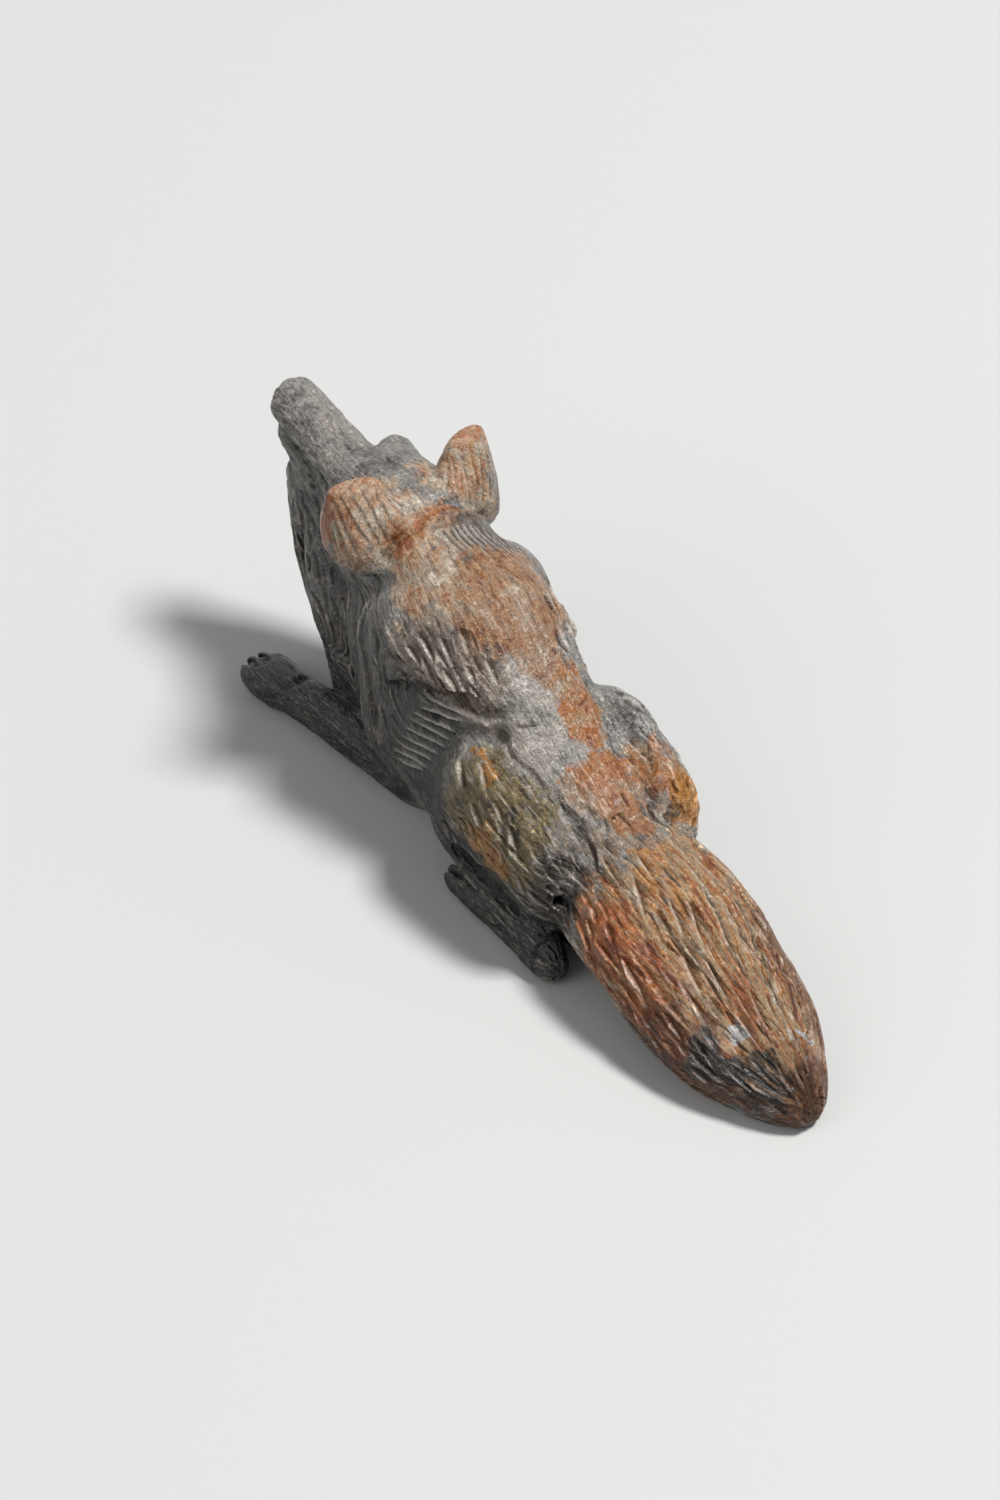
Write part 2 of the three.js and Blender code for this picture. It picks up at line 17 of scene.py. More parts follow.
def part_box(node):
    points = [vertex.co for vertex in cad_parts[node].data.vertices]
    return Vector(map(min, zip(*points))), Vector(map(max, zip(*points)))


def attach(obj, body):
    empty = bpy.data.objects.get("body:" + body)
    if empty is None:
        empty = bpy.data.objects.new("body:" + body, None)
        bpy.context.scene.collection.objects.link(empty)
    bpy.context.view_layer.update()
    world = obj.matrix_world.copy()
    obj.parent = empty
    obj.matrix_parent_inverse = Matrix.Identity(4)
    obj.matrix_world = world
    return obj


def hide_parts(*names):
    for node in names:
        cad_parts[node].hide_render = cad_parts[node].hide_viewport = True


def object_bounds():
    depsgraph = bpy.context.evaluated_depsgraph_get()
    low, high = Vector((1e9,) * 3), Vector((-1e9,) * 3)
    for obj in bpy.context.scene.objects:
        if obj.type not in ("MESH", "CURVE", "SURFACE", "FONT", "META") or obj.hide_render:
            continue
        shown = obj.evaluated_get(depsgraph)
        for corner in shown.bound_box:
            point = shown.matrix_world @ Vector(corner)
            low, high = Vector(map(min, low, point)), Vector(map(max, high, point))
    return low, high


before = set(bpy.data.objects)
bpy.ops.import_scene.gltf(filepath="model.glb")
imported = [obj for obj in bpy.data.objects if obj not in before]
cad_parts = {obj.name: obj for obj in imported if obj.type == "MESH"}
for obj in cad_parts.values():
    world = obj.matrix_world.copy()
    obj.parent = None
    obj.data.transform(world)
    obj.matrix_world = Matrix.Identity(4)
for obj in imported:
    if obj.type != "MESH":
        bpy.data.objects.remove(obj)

cad_low, cad_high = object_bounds()
scene = bpy.context.scene
print("size in mm:", [round(1000 * (high - low), 1) for low, high in zip(cad_low, cad_high)])

# %% [markdown]
# ## The camera
# A small thing is photographed from some way off with a long lens, which keeps its nose and tail
# in proportion. The camera looks down on the carving from behind its left shoulder. It could be
# aimed with a constraint, but a direction and a distance say the same in two numbers.

# %% Set up the camera
AIM = Vector((0.0194, -0.0071, 0.0))
TOWARDS_CAMERA = Vector((-0.603, 0.414, 0.682)).normalized()
CAMERA_DISTANCE = 0.615
FIELD_OF_VIEW = math.radians(18)
SENSOR_HEIGHT = 36

camera_data = bpy.data.cameras.new("camera")
camera_data.sensor_fit = "VERTICAL"
camera_data.sensor_height = SENSOR_HEIGHT
camera_data.lens = SENSOR_HEIGHT / 2 / math.tan(FIELD_OF_VIEW / 2)
camera_data.clip_start = 0.01
camera = bpy.data.objects.new("camera", camera_data)
camera.location = AIM + CAMERA_DISTANCE * TOWARDS_CAMERA
camera.rotation_euler = TOWARDS_CAMERA.to_track_quat("Z", "Y").to_euler()
scene.collection.objects.link(camera)
scene.camera = camera
print("lens in mm:", round(camera_data.lens, 1))

# %% [markdown]
# ## A language for finishes
# Every finish here is a tree of shader nodes. Trees get hard to read when each sum takes a node
# and three links, so a small class wraps a node's output and lets Python's own operators add the
# Math nodes. Then a mask is written as a sum, and the tree follows from it.

# %% Wrap shader sockets in Python sums
class Value:
    """One output of a shader node, ready for use in Python sums."""

    def __init__(self, finish, socket):
        self.finish = finish
        self.socket = socket

    def maths(self, operation, *inputs):
        """Add a Math node with these inputs."""
        return self.finish.node("ShaderNodeMath", {"operation": operation}, dict(enumerate(inputs)))

    def __add__(self, other):
        return self.maths("ADD", self, other)

    def __sub__(self, other):
        return self.maths("SUBTRACT", self, other)

    def __rsub__(self, other):
        return self.maths("SUBTRACT", other, self)

    def __mul__(self, other):
        return self.maths("MULTIPLY", self, other)

    __radd__ = __add__
    __rmul__ = __mul__

    def step(self, low, high):
        """Go smoothly from 0 at low to 1 at high."""
        settings = {"interpolation_type": "SMOOTHSTEP"}
        return self.finish.node("ShaderNodeMapRange", settings, {0: self, 1: low, 2: high, 3: 0, 4: 1})


# %% Build a finish from nodes
class Finish:
    """A node material, built by one method for nodes and a few short ones for what comes often."""

    def __init__(self, name):
        self.material = bpy.data.materials.new(name)
        self.material.use_nodes = True
        self.tree = self.material.node_tree
        self.tree.nodes.clear()

    def node(self, kind, settings, sockets, output=0):
        """Add a node: its settings come first, then the values or links of its sockets."""
        made = self.tree.nodes.new(kind)
        for name, setting in settings.items():
            if name == "stops":
                self.set_stops(made.color_ramp, setting)
            else:
                setattr(made, name, setting)
        for name, value in sockets.items():
            if isinstance(value, Value):
                self.tree.links.new(value.socket, made.inputs[name])
            else:
                made.inputs[name].default_value = value
        return Value(self, made.outputs[output]) if len(made.outputs) else None

    @staticmethod
    def set_stops(ramp, stops):
        """Give a colour ramp its (position, colour) stops."""
        while len(ramp.elements) < len(stops):
            ramp.elements.new(0.5)
        for element, (position, colour) in zip(ramp.elements, stops):
            element.position = position
            element.color = colour

    def ramp(self, value, stops):
        """Turn a number into a colour along a ramp."""
        return self.node("ShaderNodeValToRGB", {"stops": stops}, {0: value})

    def scaled(self, vector, factor):
        """Multiply a vector or a colour by one number."""
        return self.node("ShaderNodeVectorMath", {"operation": "SCALE"}, {0: vector, "Scale": factor})

    def vector(self, operation, *vectors, output=0):
        """Add a Vector Math node with these inputs."""
        return self.node("ShaderNodeVectorMath", {"operation": operation}, dict(enumerate(vectors)), output)

    def noise(self, place, scale, detail=2.0, roughness=0.5, output=0):
        """Fill space with clouds: as a number, or as a colour with output 1."""
        sockets = {"Vector": place, "Scale": scale, "Detail": detail, "Roughness": roughness}
        return self.node("ShaderNodeTexNoise", {}, sockets, output)

    def mix(self, mask, below, above, blend="MIX"):
        """Lay one colour over another where a mask is 1."""
        settings = {"data_type": "RGBA", "blend_type": blend}
        return self.node("ShaderNodeMix", settings, {0: mask, 6: below, 7: above}, output=2)

    def attribute(self, name, output=2):
        """Read what is stored on the mesh: a number, or a vector with output 1."""
        return self.node("ShaderNodeAttribute", {"attribute_name": name}, {}, output)

    def surface(self, **sockets):
        """Bring everything together in the surface shader."""
        shader = self.node("ShaderNodeBsdfPrincipled", {}, {
            name.replace("_", " "): value for name, value in sockets.items()
        })
        self.node("ShaderNodeOutputMaterial", {}, {"Surface": shader})


# %% Write colours as they look
def paint(code):
    """Turn a hex colour as it looks on a screen into the linear colour a shader needs."""
    parts = [int(code[i:i + 2], 16) / 255 for i in (0, 2, 4)]
    return [p / 12.92 if p <= 0.04045 else ((p + 0.055) / 1.055) ** 2.4 for p in parts] + [1]


print("a middle grey in linear light:", round(paint("808080")[0], 3))

# %% [markdown]
# ## Table and light
# The carving lies on a plain pale table under one soft lamp, high up on its right, with a weak lamp
# on the other side. The lamps hang far enough away to light the table evenly. The world only fills
# in, at a quarter of full strength, but rays that come straight from the camera or off a gloss see
# it as plain white. The table has two tones in the same way: pale to those rays, and a middle grey
# for the light that it throws back at the stone. So the carving stands on white, its shadow stays,
# and its undersides keep their depth.

# %% Lay the table
TABLE_HALF = 1.5
TABLE_SEEN = paint("DCDCDA")
TABLE_BOUNCE = paint("8E8E8C")
table_mesh = bpy.data.meshes.new("table")
corners = [(-1, -1), (1, -1), (1, 1), (-1, 1)]
table_mesh.from_pydata([(TABLE_HALF * x, TABLE_HALF * y, 0) for x, y in corners], [], [(0, 1, 2, 3)])
table = bpy.data.objects.new("table", table_mesh)
scene.collection.objects.link(table)
table_finish = Finish("pale_table")
rays = table_finish.node("ShaderNodeLightPath", {}, {}).socket.node
direct, glossy, through = (
    Value(table_finish, rays.outputs[name])
    for name in ("Is Camera Ray", "Is Glossy Ray", "Is Transmission Ray")
)
seen = direct.maths("MAXIMUM", direct, glossy.maths("MAXIMUM", glossy, through))
table_finish.surface(Base_Color=table_finish.mix(seen, TABLE_BOUNCE, TABLE_SEEN), Roughness=0.9)
table_mesh.materials.append(table_finish.material)
print("table width in m:", 2 * TABLE_HALF)

# %% Light the scene
LAMP_DISTANCE = 2.4


def add_lamp(name, direction, size, power):
    """Hang a square soft lamp that looks at the middle of the carving."""
    data = bpy.data.lights.new(name, "AREA")
    data.size = size
    data.energy = power
    lamp = bpy.data.objects.new(name, data)
    away = Vector(direction).normalized()
    lamp.location = LAMP_DISTANCE * away
    lamp.rotation_euler = away.to_track_quat("Z", "Y").to_euler()
    scene.collection.objects.link(lamp)


add_lamp("key_lamp", (-0.28, -0.34, 0.95), 0.5, 52)
add_lamp("fill_lamp", (0.1, 0.9, 0.7), 1.6, 8)

# %% Light the room
WORLD_STRENGTH = 0.24
world = bpy.data.worlds.new("studio")
world.use_nodes = True
world_nodes, world_links = world.node_tree.nodes, world.node_tree.links
studio = world_nodes["Background"]
studio.inputs["Strength"].default_value = WORLD_STRENGTH
backdrop = world_nodes.new("ShaderNodeBackground")
rays = world_nodes.new("ShaderNodeLightPath")
chosen = rays.outputs["Is Camera Ray"]
for kind in ("Is Glossy Ray", "Is Transmission Ray"):
    either = world_nodes.new("ShaderNodeMath")
    either.operation = "MAXIMUM"
    world_links.new(chosen, either.inputs[0])
    world_links.new(rays.outputs[kind], either.inputs[1])
    chosen = either.outputs[0]
pick = world_nodes.new("ShaderNodeMixShader")
world_links.new(chosen, pick.inputs[0])
for socket, (glow, code) in enumerate(((studio, "F4F5F7"), (backdrop, "FFFFFF")), 1):
    glow.inputs["Color"].default_value = paint(code)
    world_links.new(glow.outputs[0], pick.inputs[socket])
world_links.new(pick.outputs[0], world_nodes["World Output"].inputs["Surface"])
scene.world = world
scene.view_settings.view_transform = "Standard"
print("strength of the world's light:", WORLD_STRENGTH)

# %% [markdown]
# ## The rough block becomes one skin
# The CAD solid has the right size and forms, but it is made of flat facets and hard joins. It could
# be subdivided, but its long thin triangles would crease. A voxel remesh turns it into one even skin
# of small squares instead, fine enough to hold a graver's cut.

# %% Remesh the block
VOXEL = 0.00025
rough = bpy.data.objects.new("rough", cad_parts["stone_carving"].data.copy())
scene.collection.objects.link(rough)
remesh = rough.modifiers.new("remesh", "REMESH")
remesh.mode = "VOXEL"
remesh.voxel_size = VOXEL
bpy.context.view_layer.update()
dense = bpy.data.meshes.new_from_object(rough.evaluated_get(bpy.context.evaluated_depsgraph_get()))
bpy.data.objects.remove(rough)
print("points on the skin:", len(dense.vertices))

# %% [markdown]
# ## The skin as rows of numbers
# Moving a quarter of a million points one by one is slow in Python. Blender can hand over all
# coordinates at once, and numpy then moves every point in one sum. From here on places are in mm
# from the tail tip: how far forward, how far to the animal's left, and how high.

# %% Read the skin as arrays
TAIL_TIP = np.array([1000 * cad_low.x, 0, 0])


def read(collection, name, width, kind):
    """Read one property of all items into the rows of an array."""
    values = np.empty(len(collection) * width, kind)
    collection.foreach_get(name, values)
    return values.reshape(-1, width)


skin = 1000 * read(dense.vertices, "co", 3, np.float32).astype(float) - TAIL_TIP
edges = read(dense.edges, "vertices", 2, np.int32)
quads = read(dense.loops, "vertex_index", 1, np.int32).reshape(-1, 4)
neighbours = np.bincount(edges.ravel(), minlength=len(skin))[:, None]


def summed(ends, values, count):
    """Add up rows of values that belong to the same point."""
    return np.stack([np.bincount(ends, column, count) for column in values.T], axis=1)


def normals():
    """Find the outward direction at every point from the diagonals of the squares round it."""
    a, b, c, d = (skin[quads[:, i]] for i in range(4))
    across = np.cross(c - a, d - b)
    total = sum(summed(quads[:, i], across, len(skin)) for i in range(4))
    return total / np.linalg.norm(total, axis=1, keepdims=True)


def relax(values, rounds):
    """Move every row of values halfway towards the mean of its neighbours, round after round."""
    one, other = edges.T
    for _ in range(rounds):
        total = summed(one, values[other], len(values)) + summed(other, values[one], len(values))
        values = (values + total / neighbours) / 2
    return values


outward = normals()
print("points lying on the ground:", int((skin[:, 2] < 0.02).sum()))

# %% [markdown]
# ## Melting the facets
# A carver rounds the sawn block with files and paper. Here every point moves towards the mean of its
# neighbours, again and again. That alone would also shrink the thin parts, so the loss is smoothed
# too and added back, which keeps the snout and tail full. Ears, eyes, nose and paws get less of it,
# because their edges are sharp on the real one.

# %% Melt the facets
SIDES = (1, -1)


def on_side(side, *places):
    """Leave places on the animal's left for side 1, or mirror them to its right for -1."""
    return [(x, side * y, z) for x, y, z in places]


def near(centre, radii):
    """Fade from 1 at a centre to 0 on the skin of an ellipsoid round it."""
    share = np.linalg.norm((skin - centre) / radii, axis=1).clip(0, 1)
    return (1 - share ** 2) ** 2


MELT_ROUNDS = 100
CRISP_ROUNDS = 14
BASE_HEIGHT = 0.05
CRISP_PLACES = [
    ((85.5, 8.5, 42), (8, 8, 9)),
    ((105, 11, 3), (8, 7, 7)),
    ((58, 11, 2.5), (6, 6, 5)),
    ((111.5, 0, 37), (8, 6, 8)),
    ((93.8, 6.6, 37.2), (5, 4, 4)),
]
flat_base = skin[:, 2] < BASE_HEIGHT
melted = relax(skin, MELT_ROUNDS)
lost = skin - melted
melted += relax(lost, MELT_ROUNDS)
crisp = np.zeros(len(skin))
for centre, radii in CRISP_PLACES:
    for place in on_side(1, centre) + on_side(-1, centre):
        crisp = np.maximum(crisp, near(place, radii))
keep = (crisp ** 0.5)[:, None]
skin = keep * relax(skin, CRISP_ROUNDS) + (1 - keep) * melted
skin[flat_base, 2] = 0
skin[:, 2] = skin[:, 2].clip(0)
outward = normals()
print("furthest move in mm:", round(float(np.abs(lost).max()), 2))

# %% [markdown]
# ## Modelling tools
# A carver works with a few moves: push a form out, smooth it, cut a line, and drop one side of an
# edge. Each is a function here that moves the skin along its own outward direction. Blender's
# sculpt brushes do the same by hand, but places written down can be read, mirrored and changed.
# A line is given by a few places, run through them as a smooth curve, and laid on the skin.

# %% Sort the points for searching
def search_tree():
    """Sort the skin's points so that the one nearest to a place is found fast."""
    tree = KDTree(len(skin))
    for index, place in enumerate(skin):
        tree.insert(place, index)
    tree.balance()
    return tree


finder = search_tree()
print("height of the tail's tip in mm:", round(float(finder.find((0, 0, 5))[0].z), 1))

# %% Draw lines on the skin
def line_through(places, spacing=0.3):
    """Run a smooth curve through a few places and lay it on the skin."""
    knots = np.array([places[0], *places, places[-1]], float)
    curve = []
    for before, start, end, after in zip(knots, knots[1:], knots[2:], knots[3:]):
        count = max(2, int(np.linalg.norm(end - start) / spacing))
        for t in np.arange(count) / count:
            bend = (2 * before - 5 * start + 4 * end - after) * t ** 2
            bend += (3 * start - before - 3 * end + after) * t ** 3
            curve.append((2 * start + (end - before) * t + bend) / 2)
    curve.append(knots[-1])
    curve = np.array([finder.find(place)[0] for place in curve])
    for _ in range(6):
        curve[1:-1] = (curve[:-2] + 2 * curve[1:-1] + curve[2:]) / 4
    return curve


def beside(curve, reach):
    """Find the skin points near a curve: which they are, how far to its left, how far along it."""
    low, high = curve.min(axis=0) - reach, curve.max(axis=0) + reach
    close = np.flatnonzero(((skin > low) & (skin < high)).all(axis=1))
    away = skin[close, None, :] - curve[None, :, :]
    distance = np.linalg.norm(away, axis=2)
    nearest = distance.argmin(axis=1)
    found = distance.min(axis=1) < reach
    close, nearest = close[found], nearest[found]
    away, distance = away[found, nearest], distance[found, nearest]
    run = np.gradient(curve, axis=0)[nearest]
    left = (np.cross(outward[close], run) * away).sum(axis=1)
    return close, np.sign(left) * distance, nearest / (len(curve) - 1)


def smooth_step(value, low, high):
    """Go smoothly from 0 at low to 1 at high."""
    share = ((value - low) / (high - low)).clip(0, 1)
    return share * share * (3 - 2 * share)


print("steps from nose to brow:", len(line_through([(114, 0, 39), (96, 0, 42)])))

# %% Make the carver's moves
hollow = np.zeros(len(skin))


def swell(centre, radii, lift):
    """Push the skin out round a place, or in with a negative lift."""
    skin[:] += outward * (lift * near(centre, radii))[:, None]


def melt(centre, radii, rounds):
    """Smooth the skin round a place, which fills narrow gaps and rounds hard steps."""
    share = near(centre, radii)[:, None] ** 0.5
    skin[:] += share * (relax(skin, rounds) - skin)


def ends(along, fade):
    """Fade a cut out towards both of its ends."""
    return smooth_step(along, 0, fade) * smooth_step(1 - along, 0, fade)


def cut(places, width, depth, fade=0.2):
    """Cut a groove along a line, or raise a ridge with a negative depth."""
    close, across, along = beside(line_through(places), width)
    shape = (1 - (across / width) ** 2) ** 2 * ends(along, fade)
    skin[close] -= outward[close] * (depth * shape)[:, None]
    if depth > 0:
        hollow[close] = np.maximum(hollow[close], shape * min(1, depth / 0.8))


def drop(places, rise, fall, width, fade=0.15):
    """Make an edge: the left side of the line stands out by rise, the right side falls back."""
    close, across, along = beside(line_through(places), 3 * width)
    shape = np.exp(-(across / width) ** 2) * ends(along, fade)
    left = smooth_step(across, -0.4, 0.4)
    skin[close] += outward[close] * ((left * (rise + fall) - fall) * shape)[:, None]
    hollow[close] = np.maximum(hollow[close], (1 - left) * shape * min(1, fall))


def settle():
    """Bring the outward directions and the search tree up to date after some moves."""
    global finder
    outward[:] = normals()
    finder = search_tree()


# %% [markdown]
# ## The head
# The face is long and narrow. A shallow furrow runs up the brow, the lids stand out round each
# eye, and a tear line runs forward from it. Behind the ears a deep crease crosses the nape. All of
# it could be left to a bump map, but the lids and the crease throw shadows of their own. The lids
# are drawn in the plane of the face, as places forwards and upwards from the middle of the eye.

# %% Sculpt the head
HEAD_TURN = 0.0122
NECK = 79.5
EYE_DEPTH = 0.675
UPPER_LID = ((-2.2, 0.1), (-1.1, 1.25), (0, 1.65), (1.2, 1.2), (2.4, -0.2))
LOWER_LID = ((-2.2, -0.1), (-1.1, -1.2), (0, -1.55), (1.2, -1.15), (2.4, -0.35))


def on_head(side, *places):
    """Put places on one side of the head, which is turned a little to the animal's left."""
    return [(x, y + HEAD_TURN * (x - NECK), z) for x, y, z in on_side(side, *places)]


def eye_frame(side):
    """Find the mouth of an eye's hole, with the ways forwards, outwards and upwards over the face."""
    low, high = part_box("left_eye_inlay" if side > 0 else "right_eye_inlay")
    outwards = np.array([0.55, 0.8 * side, 0.24])
    forwards = np.cross(np.array([0, 0, 1.0]), outwards) * -side
    forwards /= np.linalg.norm(forwards)
    upwards = np.cross(outwards, forwards) * -side
    middle = 500 * (np.array(low) + np.array(high)) - TAIL_TIP + EYE_DEPTH * outwards
    return middle, forwards, outwards, upwards


for side in SIDES:
    cheek, brow = on_head(side, (90, 7.6, 32), (93.4, 4.4, 42.4))
    ear_root, ear_web, nostril = on_head(side, (82.6, 5.4, 40.6), (82.8, 5, 41.4), (113.4, 1.1, 38.2))
    swell(cheek, (6, 3, 5), 0.7)
    swell(brow, (4, 3, 3), -0.5)
    melt(ear_root, (4.6, 4.4, 4.4), 120)
    settle()
    swell(ear_web, (4.4, 4, 3.6), 1.1)
    settle()
    middle, forwards, outwards, upwards = eye_frame(side)
    for lid in (UPPER_LID, LOWER_LID):
        cut([middle + t * forwards + u * upwards for t, u in lid], 0.8, -0.42, 0.15)
        cut([middle + 1.55 * t * forwards + 1.6 * u * upwards for t, u in lid], 0.7, 0.3, 0.2)
    tear_line = on_head(side, (96.6, 5.2, 36.2), (99, 4.7, 35.6), (102, 4.2, 35.4))
    cut(tear_line, 0.7, 0.45)
    swell(nostril, (0.9, 0.8, 0.9), -0.6)
    nose_wing = on_head(side, (112, 2.6, 39.6), (113.2, 2.4, 38.6), (113.6, 2.2, 37.4))
    cut(nose_wing, 0.5, 0.25)

brow_furrow = on_head(1, (101, 0, 40), (97, 0, 41.2), (92, 0, 42), (88, 0, 42.6))
nose_split = on_head(1, (114, 0, 39.4), (114.3, 0, 38), (114, 0, 36.4))
nape_crease = [(82, 7.6, 36), (80, 4, 39.6), (78, 0, 41.2), (79, -4, 39.6), (81, -7.6, 36)]
cut(brow_furrow, 1.5, 0.45)
cut(nose_split, 0.45, 0.3)
cut(nape_crease, 0.8, 0.4, 0.1)
settle()
print("points hollowed by the head's lines:", int((hollow > 0.2).sum()))

# %% [markdown]
# ## Shoulder, thigh and tail root
# On each flank the mane ends in a ledge that runs back from the shoulder blade to a small pit. The
# upper arm under it is cut with a comb of short grooves. The thigh is a swelling of its own, with
# a crease round its top and a deep recess where it meets the tail. A drop leaves the left side of
# its line standing, so the same line runs the other way on the other flank.

# %% Sculpt the body
LEDGE = ((74, 12, 23), (71, 12, 26.4), (67, 11, 28.2), (64, 10, 28.4), (61, 8, 29), (57.5, 7, 27.2))
PIT = (56.2, 7.2, 25.4)
PIT_RIDGES = [
    ((57.4, 5.4, 28.4), (60, 3, 32)),
    ((55.4, 5.2, 27), (53.6, 2.4, 28)),
    ((58.6, 7.4, 28), (62.4, 6.4, 31.4)),
    ((54.6, 7.4, 25.2), (50, 6.6, 23.6)),
]
RUFF = ((81.5, 9, 35.5), (79.4, 10.6, 28), (77.4, 11.6, 20), (75.4, 12, 11))
TAIL_ROOT = ((48, 4, 22.6), (46, 4.8, 21.2), (43, 4.2, 20), (39.4, 4.6, 18.2), (36.4, 6, 16.8))
THIGH_CREASES = [
    (((63, 10, 24), (57, 8.6, 25.2), (52, 8.8, 24.4), (47.6, 8, 22.4), (43.6, 7.4, 20)), 1.4, 0.6),
    (((55.2, 7.6, 25), (51.6, 6.6, 23.8), (47.5, 6.2, 22.2)), 0.8, 0.45),
    (((54.4, 8.4, 24.2), (51, 7.8, 23.4), (47.5, 7.3, 21.6)), 0.8, 0.4),
]
ROOT_RECESS = ((44, 5.6, 19.6), (41, 6.6, 17.4), (39.4, 8.2, 15.6))

for side in SIDES:
    drop(on_side(side, *LEDGE)[::side], 0.7, 0.9, 2.0)
    settle()
    swell(*on_side(side, PIT), (2.2, 1.8, 1.8), -1.5)
    for ridge in PIT_RIDGES:
        cut(on_side(side, *ridge), 0.9, -0.35, 0.3)
    drop(on_side(side, *RUFF)[::-side], 0.2, 0.45, 1.6, 0.3)
    for crease, width, depth in THIGH_CREASES:
        cut(on_side(side, *crease), width, depth)
    drop(on_side(side, *TAIL_ROOT)[::side], 0.35, 0.4, 1.3)
    cut(on_side(side, *ROOT_RECESS), 1.8, 0.3)
settle()
print("points hollowed by the body's lines:", int((hollow > 0.2).sum()))

# %% [markdown]
# ## Legs, paws and breast
# The legs lie folded along the body. Three cuts part the toes of each paw, long creases mark the
# folded hind leg, and three furrows on each side run down the breast. Small as they are, they are
# cut into the surface, because the paws' outline shows them from the front.

# %% Sculpt legs and paws
TOE_CUTS = (-1.9, 0, 1.9)
FRONT_PAW, HIND_PAW = 11.3, 10.9
LEG_CREASES = [
    (((52, 13.2, 10.4), (45, 12.8, 7.8), (38.6, 11.4, 5.2)), 0.9, 0.5),
    (((60, 13, 8.4), (52, 13.4, 6.2), (44, 12.8, 4.4), (38.4, 11.6, 3.6)), 0.9, 0.6),
    (((97.6, 12.6, 5), (97.2, 10.8, 6.2), (97.4, 8.8, 5.2)), 0.9, 0.4),
]
BREAST_FURROWS = (1.4, 3.9, 6.2)

for side in SIDES:
    for offset in TOE_CUTS:
        y = FRONT_PAW + offset
        cut(on_side(side, (102.6, y, 5.8), (105.4, y, 4.8), (107.1, y, 2.6), (107.2, y, 0.6)), 0.6, 0.6)
        y = HIND_PAW + 0.8 * offset
        cut(on_side(side, (56.5, y, 4.4), (59.4, y, 3.4), (60.5, y, 1.2)), 0.5, 0.5)
    for crease, width, depth in LEG_CREASES:
        cut(on_side(side, *crease), width, depth)
    for y in BREAST_FURROWS:
        cut(on_side(side, (109, 0.7 * y, 30), (105.6, y, 24), (102, y, 16), (98.5, y, 7)), 1.0, 0.45)
settle()
print("points hollowed so far:", int((hollow > 0.2).sum()))

# %% [markdown]
# ## Which way the hair runs
# Thousands of cuts cover the body, and their direction tells the eye that this is fur. Guides say
# how the hair lies at chosen places: the direction of a cut, its length, the gap to the next one
# and its depth. Every point in between blends the guides round it, as a comb drawn over the skin
# would. Blender's hair tools comb in the same way, but they grow curves and don't cut grooves.

